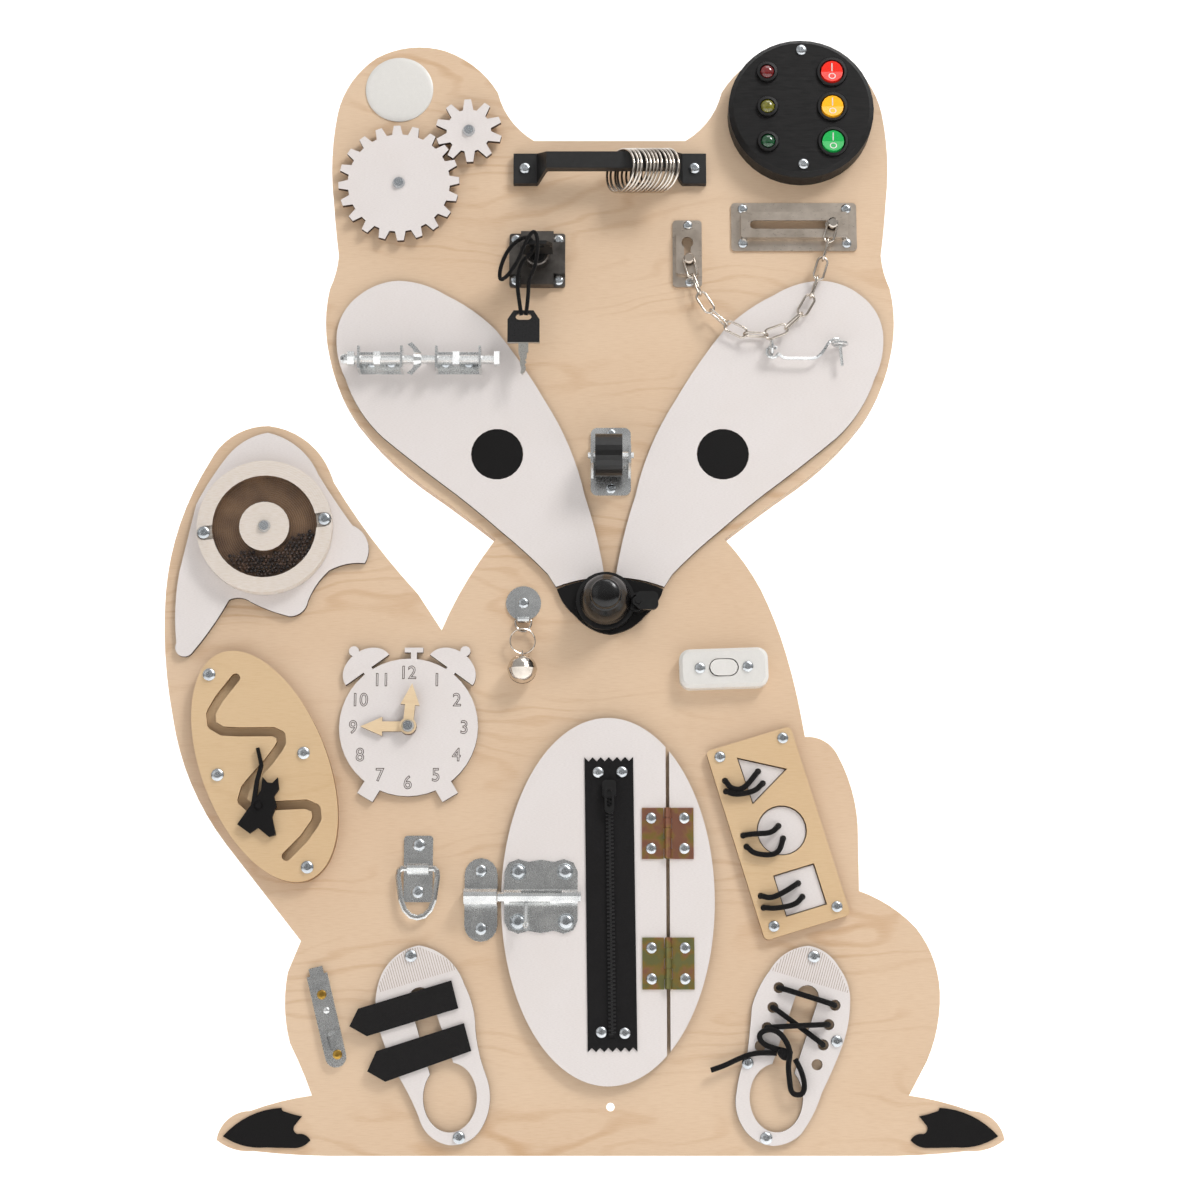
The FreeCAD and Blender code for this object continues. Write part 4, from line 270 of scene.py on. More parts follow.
def moulded_plastic(name, code, rough=0.34, speckle=0.6, painted_glow=0.0):
    """Injection-moulded ABS: even colour, with a fine spark-eroded texture that breaks up the shine. A glow,
    where given, is painted light: emission in the piece's own colour, though the piece is no lamp.
    """
    f = Finish(name)
    fine = f.noise(3.0, 2.0)
    base = linear(code)
    worn = tuple(min(1.0, c * 1.04 + 0.008) for c in base[:3]) + (1.0,)
    f.surface(Base_Color=f.faded(f.noise(0.25, 3.0), 0.45, 0.8, 0.6, base, worn),
              Roughness=f.grade(fine, 0.3, 0.7, rough - 0.06, rough + 0.1), IOR=1.53)
    # painted glow: the piece gives off light of its own colour, though it is no lamp
    if painted_glow:
        f.surface(Emission_Color=base, Emission_Strength=painted_glow)
    f.bump(fine, 0.015, speckle)
    return f.made


def plated_steel(name, light, dark, rough, cloud=0.05, brush=(1.0, 1.0, 1.0), tint=None):
    """Plated pressed steel: a bright metal whose plating clouds slowly and carries fine rubbing marks."""
    f = Finish(name)
    marks = f.noise(1.2, 3.0, place=f.vector("MULTIPLY", f.place, brush))
    colour = f.faded(f.noise(cloud, 4.0, 0.6), 0.35, 0.7, 1.0, light, dark)
    if tint:
        lift = f.grade(f.axes(f.place)[2], 101.0, 194.5, -0.09, 0.09)
        stops = [(0.36 + 0.09 * i, code) for i, code in enumerate(tint)]
        colour = f.mixed(0.85, colour, f.ramp(f.maths("ADD", f.noise(0.09, 2.0), lift), stops))
    f.surface(Base_Color=colour, Metallic=1.0,
              Roughness=f.grade(marks, 0.3, 0.7, rough - 0.03, rough + 0.05))
    f.bump(marks, 0.004, 0.3)
    return f.made


def braided_cord():
    """Braided polyester cord: plaited strands that run round the cord along its own length."""
    f = Finish("braided_cord")
    along = f.add("UVMap", {}).outputs[0]
    slants = [f.add("Mapping", {0: along, "Rotation": (0, 0, lean)}).outputs[0] for lean in (0.8, -0.8)]
    waves = [f.add("TexWave", {0: slant, "Scale": 5.0, "Distortion": 0.6}).outputs[1] for slant in slants]
    fuzz = f.noise(2.2, 3.0)
    f.surface(Base_Color=f.faded(fuzz, 0.35, 0.75, 1.0, "070606", "191717"),
              Roughness=0.85, Specular_IOR_Level=0.2, Sheen_Weight=0.06)
    f.bump(f.maths("ADD", f.maths("MAXIMUM", *waves), fuzz), 0.35, 0.8)
    return f.made


def key_finish():
    """A cut key: a moulded black head over a nickel-plated brass blade, from one height down."""
    f = Finish("key_head_and_blade")
    blade = f.maths("LESS_THAN", f.axes(f.place)[2], 559.6)
    fine = f.noise(2.5, 2.0)
    f.surface(Base_Color=f.mixed(blade, "171617", "C9C6C0"), Metallic=blade,
              Roughness=f.grade(fine, 0.3, 0.7, 0.24, 0.42))
    f.bump(fine, 0.02, 0.5)
    return f.made


def woven_tape(name, code, light, rib_mm=0.9):
    """Woven nylon tape: straight ribs one way and a finer thread across them."""
    f = Finish(name)
    axes = f.axes(f.place)
    weave = f.maths("MULTIPLY", f.waves(axes[0], rib_mm), f.waves(axes[2], rib_mm * 1.2))
    both = f.maths("ADD", f.grade(weave, -1, 1, 0, 0.7), f.grade(f.noise(0.8, 4.0), 0.3, 0.7, 0, 0.5))
    f.surface(Base_Color=f.mixed(both, code, light), Roughness=0.8, Specular_IOR_Level=0.25,
              Sheen_Weight=0.08, Sheen_Roughness=0.5)
    f.bump(both, 0.18, 0.7)
    return f.made


def clear_acrylic():
    """Clear cast acrylic: a bright thin window that keeps what is behind it in sight."""
    f = Finish("clear_acrylic")
    f.surface(Roughness=f.grade(f.noise(0.12, 3.0), 0.4, 0.75, 0.03, 0.16), Base_Color="F4F6F5", IOR=1.49,
              Transmission_Weight=1.0, Alpha=0.22)
    return f.made


def coloured_lens(name, code):
    """Tinted polycarbonate lens: deep colour with a glassy top coat."""
    f = Finish(name)
    base = linear(code)
    dark = tuple(c * 0.35 for c in base[:3]) + (1.0,)
    f.surface(Base_Color=f.faded(f.noise(0.5, 2.0), 0.3, 0.8, 0.9, base, dark),
              Roughness=0.08, IOR=1.58, Coat_Weight=0.8)
    return f.made


def drum_wood():
    """Turned and milled birch ring: white-stained rim, and a scorched milled trough whose cutter
    marks run round the centre."""
    f = Finish("milled_birch_drum")
    centre = f.vector("ADD", f.place, (-DRUM_AT[0], 0.0, -DRUM_AT[1]))
    x, y, z = f.axes(centre)
    flat = f.add("CombineXYZ", {0: x, 2: z}).outputs[0]
    away = f.add("VectorMath", {0: flat}, operation="LENGTH").outputs["Value"]
    groove = f.waves(away, 1.6)
    smoke = f.noise(0.05, 4.0, place=centre)
    marks = f.maths("ADD", f.grade(groove, -1, 1, 0, 0.5), f.grade(smoke, 0.3, 0.7, 0, 0.6))
    grain = f.noise((0.2, 0.2, 2.0), 3.0)
    pale = f.faded(grain, 0.4, 0.8, 0.7, "DDD3CA", "CBB9A3")
    trough = f.maths("GREATER_THAN", y, -(FRONT + PLATE + 10.0))
    between = f.maths("MULTIPLY", f.maths("LESS_THAN", away, 38.8), f.maths("GREATER_THAN", away, 18.3))
    where = f.maths("MULTIPLY", between, trough)
    f.surface(Base_Color=f.mixed(where, pale, f.mixed(marks, "4A3324", "8A6A4C")), Roughness=0.55)
    f.bump(f.grade(groove, -1, 1, 0, 1), 0.05, 0.5)
    return f.made


def seed_coat():
    """Dry mustard seed: small dull brown-black grains, each a little different."""
    f = Finish("mustard_seed")
    grain = f.add("TexVoronoi", {0: f.place, "Scale": 0.28}).outputs[1]
    shades = ((0.1, "241A17"), (0.6, "3B2A22"), (0.95, "5B4334"))
    f.surface(Base_Color=f.ramp(f.axes(grain)[0], shades), Roughness=0.5)
    f.bump(f.noise(2.0, 2.0), 0.05, 0.6)
    return f.made


def burnt_line(name, dark, light):
    """Laser-engraved line: a shallow brown scorch in the white face."""
    f = Finish(name)
    f.surface(Base_Color=f.faded(f.noise(0.8, 3.0), 0.3, 0.75, 0.8, dark, light), Roughness=0.8)
    return f.made


FINISH = {}


def make_finishes():
    """All the finishes, by the name that the pieces ask for."""
    tones = colours()
    FINISH.update({
        "birch": birch_plywood("birch_plywood", tones.birch, tones.birch_dark, "C9A67A", "94714C"),
        "birch_plate": birch_plywood("birch_plywood_light", "D8BA92", "C49E70", "B58A5C", "5A3E28", 0.5),
        "birch_hand": birch_plywood("birch_plywood_hand", "E6CDA8", "CBA678", "6A4A32", "3A281C", 0.4),
        "white": white_faced_plywood(),
        "film": black_film(),
        "paint": black_paint(),
        "abs": moulded_plastic("black_abs", "0A0909", 0.34),
        "grip": moulded_plastic("black_powder_coat", "0B0A0A", 0.46, 1.0),
        "bakelite": moulded_plastic("black_bell_enamel", "070606", 0.2),
        "white_abs": moulded_plastic("white_abs", "DFDCD7", 0.3, 0.25),
        # The three rockers get a painted glow of 0.35: they give off light of their own colour, though they
        # are no lamps.
        "red": moulded_plastic("red_polycarbonate", "D8291C", 0.22, 0.3, 0.35),
        "amber": moulded_plastic("amber_polycarbonate", "F0A81E", 0.22, 0.3, 0.35),
        "green": moulded_plastic("green_polycarbonate", "1F9E4B", 0.22, 0.3, 0.35),
        "red_lens": coloured_lens("red_lens", "7C1A1C"),
        "amber_lens": coloured_lens("amber_lens", "7E7A22"),
        "green_lens": coloured_lens("green_lens", "17532F"),
        "zinc": plated_steel("zinc_plated_steel", "ECEDEC", "C8CACB", 0.26),
        "nickel": plated_steel("nickel_plated_steel", "E4DCD2", "B4A99D", 0.14),
        "satin_nickel": plated_steel("satin_nickel_steel", "D9CCBE", "BBAEA0", 0.3, 0.05, (0.25, 1.0, 1.0)),
        "bright": plated_steel("bright_zinc_screw", "D6DADD", "B4BABF", 0.24),
        "yellow_zinc": plated_steel("yellow_passivated_steel", "B79C62", "9C7C4E", 0.34, 0.06,
                                    tint=("8E9160", "A99253", "B98A62", "B07868")),
        "brass": plated_steel("brass", "C9A24E", "A9823A", 0.3),
        "dark_steel": plated_steel("dark_lock_steel", "75706B", "4E4A47", 0.34),
        "cord": braided_cord(),
        "key": key_finish(),
        "zip_tape": woven_tape("woven_zip_tape", "060505", "141213"),
        "strap": woven_tape("woven_satin_strap", "080707", "1A1818", 1.3),
        "acrylic": clear_acrylic(),
        "drum": drum_wood(),
        "seed": seed_coat(),
        "scorch": burnt_line("engraved_scorch", "33241C", "5A463A"),
        "groove": burnt_line("engraved_groove", "A48F7F", "C9B8AB"),
    })


NODES_IN = {
    "birch": "board",
    "white": "white_plates gear_large gear_small clock_face belly_fixed door_leaf shape_triangle "
             "shape_circle shape_square shoe_plates",
    "film": "black_patches cat_slider",
    "bright": "pivot_screws",
    "grip": "ring_handle",
    "paint": "light_box",
    "abs": "lamps_and_bezels lock_key castor_wheel bell_base bell_lever zipper_slider",
    "red": "rocker_red",
    "amber": "rocker_yellow",
    "green": "rocker_green",
    "dark_steel": "lock_case",
    "key": "spare_key",
    "satin_nickel": "chain_plates",
    "nickel": "chain_slider door_chain jingle_bell rings",
    "zinc": "ring_mounts gate_hook threaded_bolt wing_nut castor_fork door_bolt_case door_bolt_rod "
            "keeper_and_case lashing_ring latch_bolt",
    "bakelite": "bell_gong",
    "white_abs": "switch_body switch_rocker",
    "drum": "drum_body",
    "acrylic": "drum_window",
    "birch_plate": "maze_plate shape_frame",
    "birch_hand": "clock_hour clock_minute",
    "yellow_zinc": "hinge_fixed_leaves hinge_door_leaves",
    "zip_tape": "zipper_tape",
    "strap": "upper_strap lower_strap",
    "seed": "drum_beads",
    "cord": "key_cord tie_cords shoe_laces",
}


# ---- modelling helpers


def nothing_selected():
    if bpy.context.object and bpy.context.object.mode != "OBJECT":
        bpy.ops.object.mode_set(mode="OBJECT")
    bpy.ops.object.select_all(action="DESELECT")


def only(piece):
    nothing_selected()
    piece.select_set(True)
    bpy.context.view_layer.objects.active = piece
    return piece


def primitive(kind, **settings):
    """One of Blender's mesh primitives, its place, turn and size baked into its mesh."""
    nothing_selected()
    getattr(bpy.ops.mesh, "primitive_%s_add" % kind)(**settings)
    made = only(bpy.context.object)
    bpy.ops.object.transform_apply(location=True, rotation=True, scale=True)
    return made


def wire_ring(radius_mm, wire_mm, segments, sides, turn_y=0.0):
    """A round wire bent to a ring; it lies flat in x and y before it is turned."""
    return primitive("torus", major_radius=radius_mm * MM, minor_radius=wire_mm * MM,
                     major_segments=segments, minor_segments=sides, rotation=(0, turn_y, 0))


def shifted(piece, step):
    piece.data.transform(Matrix.Translation(step))
    return piece


def placed(piece, x, y, h):
    """Moves a piece from the origin to its place on the board, in mm."""
    return shifted(piece, at(x, y, h))


def turned(piece, degrees, axis):
    piece.data.transform(Matrix.Rotation(math.radians(degrees), 4, axis))
    return piece


def applied(piece, kind, **settings):
    """Adds a modifier with these settings and applies it."""
    change = piece.modifiers.new("change", kind)
    for name, value in settings.items():
        setattr(change, name, value)
    only(piece)
    bpy.ops.object.modifier_apply(modifier=change.name)
    return piece


def repeated(piece, step, count):
    return applied(piece, "ARRAY", use_relative_offset=False, use_constant_offset=True,
                   constant_offset_displace=step, count=count)


def cut_by(piece, cutter):
    """Cuts the cutter out of the piece, and removes the cutter."""
    applied(piece, "BOOLEAN", object=cutter, operation="DIFFERENCE", solver="EXACT")
    bpy.data.objects.remove(cutter)
    return piece


def copy_of(piece, matrix):
    """A copy with its own mesh, put in place by the matrix."""
    twin = piece.copy()
    twin.data = piece.data.copy()
    bpy.context.scene.collection.objects.link(twin)
    twin.data.transform(matrix)
    return twin


def copies_of(pattern, matrices, name):
    """One piece made of a copy at each matrix; the pattern goes."""
    made = [copy_of(pattern, matrix) for matrix in matrices]
    bpy.data.objects.remove(pattern)
    return joined(made, name)


def joined(pieces, name):
    nothing_selected()
    for piece in pieces:
        piece.select_set(True)
    bpy.context.view_layer.objects.active = pieces[0]
    if len(pieces) > 1:
        bpy.ops.object.join()
    made = bpy.context.object
    made.name = name
    made.data.name = name
    return made


def smoothed(piece, degrees):
    only(piece)
    bpy.ops.object.shade_smooth_by_angle(angle=math.radians(degrees))
    return piece


def dressed(piece, finish, body=None, smooth=None):
    """Gives a piece its finish, smooth shading and the body it rides on."""
    piece.data.materials.clear()
    piece.data.materials.append(FINISH[finish])
    if smooth is not None:
        smoothed(piece, smooth)
    if body:
        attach(piece, body)
    return piece


def round_blank(name, radius_mm, height_mm, sides):
    """A short upright cylinder along the frame's -Y, its back at the origin."""
    height = height_mm * MM
    blank = primitive("cylinder", vertices=sides, radius=radius_mm * MM, depth=height,
                      location=(0, 0, height / 2))
    blank.name = name
    return turned(blank, 90, "X")


def edit_front(piece):
    """In edit mode, selects the face that looks straight out of the board at the piece's front."""
    only(piece)
    bpy.ops.object.mode_set(mode="EDIT")
    bpy.ops.mesh.select_mode(type="FACE")
    bpy.ops.mesh.select_all(action="DESELECT")
    bpy.ops.object.mode_set(mode="OBJECT")
    front = min(v.co.y for v in piece.data.vertices)
    for face in piece.data.polygons:
        face.select = face.normal.y < -0.9 and face.center.y < front + 1e-5
    bpy.ops.object.mode_set(mode="EDIT")


def stepped(name, radius_mm, height_mm, sides, steps):
    """A round blank whose front is inset and moved out, by (inset, out) steps in mm."""
    piece = round_blank(name, radius_mm, height_mm, sides)
    edit_front(piece)
    for inset, out in steps:
        bpy.ops.mesh.inset(thickness=inset * MM, depth=0)
        bpy.ops.transform.translate(value=(0, -out * MM, 0))
    bpy.ops.object.mode_set(mode="OBJECT")
    return piece


def lathe(name, profile, sides=48):
    """A piece turned about the -Y axis from (radius, height) steps in mm, its back at the origin."""
    radius, low = profile[0]
    piece = shifted(round_blank(name, radius, 0.01, sides), (0, -low * MM, 0))
    edit_front(piece)
    for wide, height in profile[1:]:
        bpy.ops.mesh.extrude_region_move(TRANSFORM_OT_translate={"value": (0, -(height - low) * MM, 0)})
        share = max(wide, 0.02) / max(radius, 0.02)
        bpy.ops.transform.resize(value=(share, 1, share), center_override=(0, 0, 0))
        radius, low = wide, height
    bpy.ops.object.mode_set(mode="OBJECT")
    return piece


def screw_head(radius):
    """A pan head with a cross recess, of this radius in mm, its seat at the origin, looking along -Y."""
    head = stepped("screw_head", radius, 0.9, 20, ((radius * 0.16, 0.75), (radius * 0.34, 0.35)))
    for turn in (0.0, math.pi / 2):
        bar = primitive("cube", size=1, rotation=(0, turn, 0),
                        scale=(radius * 0.92 * MM, 1.7 * MM, radius * 0.2 * MM))
        cut_by(head, shifted(bar, (0, -2.0 * MM, 0)))
    return smoothed(head, 35)


def text_mesh(words, size_mm, place, squash=(1, 1, 1), line_mm=0.0):
    """Plain letters or numbers, solid or as thin outlines, centred on the place and read from the front."""
    nothing_selected()
    bpy.ops.object.text_add(location=(0, 0, 0))
    words_curve = bpy.context.object.data
    words_curve.body = words
    words_curve.align_x = "CENTER"
    words_curve.align_y = "CENTER"
    words_curve.size = size_mm * MM
    if line_mm:
        words_curve.fill_mode = "NONE"
        words_curve.bevel_depth = line_mm * MM
        words_curve.bevel_resolution = 0
    bpy.ops.object.convert(target="MESH")
    label = bpy.context.object
    sides = [[v.co[i] for v in label.data.vertices] for i in (0, 1)]
    shifted(label, (*(-(min(side) + max(side)) / 2 for side in sides), 0))
    label.data.transform(Matrix.Diagonal((*squash, 1)))
    turned(label, 90, "X")
    return shifted(label, place)


# Each group: the seat's height, the size of the heads, then where they are.
SCREWS = {
    "base": [
        (6.2, 1.0, [(-64.7, 702.8), (64.7, 702.8)]),
        (20.0, 0.95, [(146.4, 792.9), (146.8, 701.1)]),
        (3.0, 0.95, [(-71.0, 646.5), (-39.0, 646.5), (-71.0, 614.5), (-39.0, 614.5)]),
        (1.5, 0.9, [(101.2, 671.9), (179.9, 671.9), (101.1, 644.5), (179.9, 644.5)]),
        (1.5, 0.82, [(59.3, 659.0), (60.4, 613.6)]),
        (PLATE + 1.8, 0.85, [(-178.6, 548.6), (-164.0, 548.6), (-123.5, 548.6), (-106.0, 548.6)]),
        (2.0, 0.9, [(1.0, 494.6), (0.7, 452.4)]),
        (2.9, 0.95, [(-64.0, 365.4)]),
        (12.5, 0.95, [(65.7, 315.0), (100.7, 316.2)]),
        (9.0, 1.1, [(-293.6, 310.7), (-223.2, 252.8), (-285.4, 236.8), (-218.7, 169.8)]),
        (BELLY + 1.2, 0.95, [(53.5, 205.5), (53.5, 183.5), (53.5, 112.0), (53.5, 90.0)]),
        (2.0, 1.05, [(-93.6, 167.9), (-93.3, 126.0)]),
        (6.0, 0.95, [(80.0, 250.4), (125.9, 264.3), (163.3, 141.7), (117.7, 127.6)]),
        (1.8, 1.1, [(-138.6, 186.6), (-139.1, 152.4)]),
        (PLATE, 1.05, [(-143.4, 106.5), (-107.5, -21.4), (146.3, 106.0)]),
        (PLATE, 1.0, [(161.6, 46.0), (97.8, 30.7)]),
        (PLATE, 1.05, [(110.4, -21.8)]),
    ],
    "door": [
        (BELLY + 1.2, 0.95, [(29.7, 205.5), (29.7, 183.5), (29.7, 112.0), (29.7, 90.0)]),
        (BELLY + 0.9, 0.95, [(-8.8, 239.0), (8.5, 239.3), (-6.4, 52.3), (10.2, 51.6)]),
        (BELLY + 1.2, 1.2, [(-66.6, 166.6), (-32.6, 166.8), (-66.6, 130.6), (-31.9, 130.8)]),
    ],
    "drum": [
        (PLATE + 10.6, 1.1, [(-299.9, 416.0), (-211.2, 426.4)]),
    ],
}


class BOARD_OT_screws(bpy.types.Operator):
    """Puts a pan-head screw in every plate and fitting, each with its own turn"""
    bl_idname = "board.screws"
    bl_label = "Screws"

    def execute(self, context):
        chance = random.Random(11)
        for body, groups in SCREWS.items():
            spots = []
            for h, size, places in groups:
                for x, y in places:
                    turn = Matrix.Rotation(chance.uniform(0, math.pi), 4, "Y")
                    spots.append(Matrix.Translation(at(x, y, h)) @ turn @ Matrix.Scale(size, 4))
            screws = copies_of(screw_head(sizes().screw_radius / MM), spots, body + "_panel_screws")
            dressed(screws, "bright", body)
        h, _, places = SCREWS["door"][-1]
        boss = stepped("boss", 7.6, 0.9, 28, ((1.6, 0.0), (0.9, -0.7)))
        bosses = copies_of(boss, [Matrix.Translation(at(x, y, h)) for x, y in places], "door_bolt_bosses")
        dressed(bosses, "zinc", "door", 30)
        return {"FINISHED"}


class BOARD_OT_latch_screws(bpy.types.Operator):
    """The two brass screws and the rivet of the slide latch"""
    bl_idname = "board.latch_screws"
    bl_label = "Latch screws"

    def execute(self, context):
        spots = [Matrix.Translation(at(x, y, PLATE)) @ Matrix.Rotation(turn, 4, "Y")
                 for x, y, turn in ((-206.9, 79.0, 0.3), (-194.8, 36.7, 1.1))]
        dressed(copies_of(screw_head(3.4), spots, "latch_screws"), "brass", "base")
        rivet = lathe("latch_rivet", [(2.2, 0), (2.2, 0.5), (1.6, 0.9), (0.4, 1.1)], 20)
        dressed(placed(rivet, -203.3, 67.8, PLATE), "zinc", "base", 40)
        return {"FINISHED"}


class BOARD_OT_badge(bpy.types.Operator):
    """A blank domed disc in the place of the round label"""
    bl_idname = "board.badge"
    bl_label = "Blank badge"

    def execute(self, context):
        dome = ((0.5, 0.35), (3.0, 0.25), (8.0, 0.15))
        disc = stepped("blank_badge", sizes().badge_radius / MM, 0.8, 64, dome)
        dressed(placed(disc, -161.8, 768.8, 0), "white_abs", "base", 40)
        return {"FINISHED"}


# Half the gong's section, as (radius, height), from its rim up over the cap.
GONG = [(17.6, 7.6), (18.9, 7.6), (19.0, 8.0), (18.6, 9.4), (18.2, 10.6), (17.9, 13.0), (17.4, 16.2),
        (16.8, 18.6), (15.6, 21.6), (13.9, 24.2), (12.2, 26.3), (11.6, 27.4), (10.6, 28.0), (10.6, 28.6),
        (11.2, 29.2), (11.2, 32.2), (10.8, 33.6), (9.8, 34.8), (8.2, 35.7), (5.4, 36.3), (0.6, 36.6)]


class BOARD_OT_bell(bpy.types.Operator):
    """The turned gong of the nose bell with its round cap"""
    bl_idname = "board.bell"
    bl_label = "Bell gong"

    def execute(self, context):
        gong = lathe("nose_gong", GONG, 56)
        dressed(placed(gong, -3.4, 366.0, PLATE), "bakelite", None, 32)
        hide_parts("bell_gong")
        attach(gong, "base")
        return {"FINISHED"}


SEAM = 1.9 * MM  # half the height of the round bell's raised seam


class BOARD_OT_jingle(bpy.types.Operator):
    """The D ring, the split ring's two turns and the slotted round bell"""
    bl_idname = "board.jingle"
    bl_label = "Jingle bell"

    def execute(self, context):
        x, top, level = -64.4, 353.1, 3.4
        made = []
        for shift in (-0.55, 0.55):
            ring = turned(turned(wire_ring(9.3, 0.55, 40, 8), 90 + shift * 5, "X"), 10, "Z")
            made.append(placed(ring, x, top - 16.8, level + 1.9 + shift))
        hanger = turned(wire_ring(6.0, 0.8, 32, 8), 90, "X")
        for vertex in hanger.data.vertices:
            vertex.co.z *= 0.35 if vertex.co.z > 0 else 1.25
        made.append(placed(hanger, -64.0, top - 1.6, level))
        shell = primitive("uv_sphere", segments=36, ring_count=18, radius=10.7 * MM)
        for vertex in shell.data.vertices:
            if abs(vertex.co.z) < SEAM:
                spread = 1 + 0.05 * (1 - abs(vertex.co.z) / SEAM)
                vertex.co.x *= spread
                vertex.co.y *= spread
        slit = primitive("cube", size=1, location=(0, 0, -8.5 * MM), scale=(24 * MM, 2.2 * MM, 9.0 * MM))
        made.append(placed(cut_by(shell, slit), x, 314.4, level + 8.2))
        made.append(placed(wire_ring(1.9, 0.6, 16, 6, math.pi / 2), x, 326.0, level + 8.2))
        bell = dressed(joined(made, "round_bell"), "nickel", None, 40)
        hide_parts("jingle_bell")
        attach(bell, "jingle")
        return {"FINISHED"}


class BOARD_OT_chain(bpy.types.Operator):
    """Round-wire oval links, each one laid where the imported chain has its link"""
    bl_idname = "board.chain"
    bl_label = "Door chain"

    def execute(self, context):
        link = wire_ring(3.85, 0.95, 26, 10)
        for vertex in link.data.vertices:
            vertex.co.x += math.copysign(5.1 * MM, vertex.co.x)
        spots = []
        for points in solids_of("door_chain"):
            middle = points.mean(axis=0)
            _, axes = numpy.linalg.eigh(numpy.cov((points - middle).T))
            long, wide = Vector(axes[:, 2]), Vector(axes[:, 1])
            turn = Matrix((long, wide, long.cross(wide))).transposed().to_4x4()
            spots.append(Matrix.Translation(Vector(middle)) @ turn)
        chain = dressed(copies_of(link, spots, "wire_chain"), "nickel", None, 60)
        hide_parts("door_chain")
        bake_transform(chain)
        return {"FINISHED"}


def solids_of(node):
    """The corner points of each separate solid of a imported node."""
    mesh = frame["nodes"][node].data
    keys = [tuple(round(c * 1e6) for c in vertex.co) for vertex in mesh.vertices]
    owner = {key: key for key in keys}

    def root(key):
        while owner[key] != key:
            key = owner[key]
        return key

    for face in mesh.polygons:
        first = root(keys[face.vertices[0]])
        for index in face.vertices[1:]:
            owner[root(keys[index])] = first
    groups = {}
    for key in sorted(owner):
        groups.setdefault(root(key), []).append(key)
    return [numpy.array(groups[key], dtype=float) * 1e-6 for key in sorted(groups)]


class BOARD_OT_thread(bpy.types.Operator):
    """The rolled thread on the long rod"""
    bl_idname = "board.thread"
    bl_label = "Rod thread"

    def execute(self, context):
        ridge = turned(wire_ring(2.72, 0.42, 20, 5, math.pi / 2), 4, "Z")
        thread = repeated(placed(ridge, -190.6, 548.6, 13.0), (1.15 * MM, 0, 0), 90)
        dressed(joined([thread], "rod_thread"), "zinc", "rod", 60)
        return {"FINISHED"}


class BOARD_OT_zip_teeth(bpy.types.Operator):
    """Two rows of interlocked teeth down the middle of the zip"""
    bl_idname = "board.zip_teeth"
    bl_label = "Zip teeth"

    def execute(self, context):
        tooth = primitive("cube", size=1, scale=(3.4 * MM, 1.1 * MM, 1.15 * MM))
        applied(tooth, "BEVEL", width=0.28 * MM, segments=2)
        pitch = sizes().tooth_pitch
        count = int(184 * MM / pitch)
        rows = []
        for side, early in ((-1, 0.0), (1, 0.5)):
            first = copy_of(tooth, Matrix.Translation((side * MM, 0, -pitch * (count / 2 - early))))
            rows.append(repeated(first, (0, 0, pitch), count))
        bpy.data.objects.remove(tooth)
        teeth = placed(turned(joined(rows, "zip_teeth"), -0.7, "Y"), 0.2, 141.8, BELLY + 2.3)
        dressed(teeth, "abs", "door", 40)
        return {"FINISHED"}


class BOARD_OT_rings(bpy.types.Operator):
    """The round wire rings on the handle"""
    bl_idname = "board.rings"
    bl_label = "Rings"

    def execute(self, context):
        lowest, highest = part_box("rings")
        radius, wire, spacing = 16.4, 1.0, 3.0 * MM
        start = lowest.x + (radius * math.sin(math.radians(40)) + wire - 0.1) * MM
        middle = (lowest + highest) / 2
        turn = Matrix.Rotation(math.radians(-50), 4, "Z") @ Matrix.Rotation(math.pi / 2, 4, "X")
        chance = random.Random(4)
        spots = []
        for index in range(12):
            tip = Matrix.Rotation(math.radians(chance.uniform(-3.0, 3.0)), 4, "Z")
            place = Vector((start + index * spacing, middle.y, middle.z + chance.uniform(-0.1, 0.1) * MM))
            spots.append(Matrix.Translation(place) @ tip @ turn)
        rings = copies_of(wire_ring(radius, wire, 48, 10), spots, "wire_rings")
        dressed(rings, "nickel", None, 60)
        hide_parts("rings")
        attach(rings, "ring_set")
        return {"FINISHED"}


LAMP_X = 120.0
ROCKER_X = 169.4
LAMP_ROWS = (
    (774.8, "red_lens", "red_plastic", "red_rocker"),
    (746.8, "amber_lens", "yellow_plastic", "yellow_rocker"),
    (718.8, "green_lens", "green_plastic", "green_rocker"),
)


class BOARD_OT_lamps(bpy.types.Operator):
    """Bezels, domed lenses and the marks on the rockers"""
    bl_idname = "board.lamps"
    bl_label = "Lamps"

    def execute(self, context):
        bezels = []
        for y, lens, slot, _ in LAMP_ROWS:
            cover = stepped(lens, 5.4, 1.6, 32, ((0.7, 1.1), (1.1, 0.9), (1.3, 0.5), (1.1, 0.15)))
            dressed(placed(cover, LAMP_X, y, BOX), lens, "base", 60)
            ring = stepped("bezel", 8.2, 1.2, 40, ((0.5, 1.2), (1.9, 0.2), (0.3, -2.0)))
            bezels.append(placed(ring, LAMP_X, y, BOX))
            rim = stepped("rocker_bezel", 11.7, 1.0, 48, ((0.5, 0.9), (1.7, 0.1), (0.3, -1.7)))
            hole = shifted(round_blank("hole", 9.2, 8.0, 40), (0, 3.0 * MM, 0))
            bezels.append(placed(cut_by(rim, hole), ROCKER_X, y, BOX))
        made = dressed(joined(bezels, "lamp_and_rocker_bezels"), "abs", None, 35)
        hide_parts("lamps_and_bezels")
        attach(made, "base")
        for y, _, _, body in LAMP_ROWS:
            marks = [lay_on(text_mesh(letter, size, at(ROCKER_X, y + up)), body, 0.12)
                     for letter, size, up in (("I", 8.832, 3.6), ("O", 7.452, -3.8))]
            dressed(joined(marks, body + "_marks"), "white_abs", body)
        return {"FINISHED"}


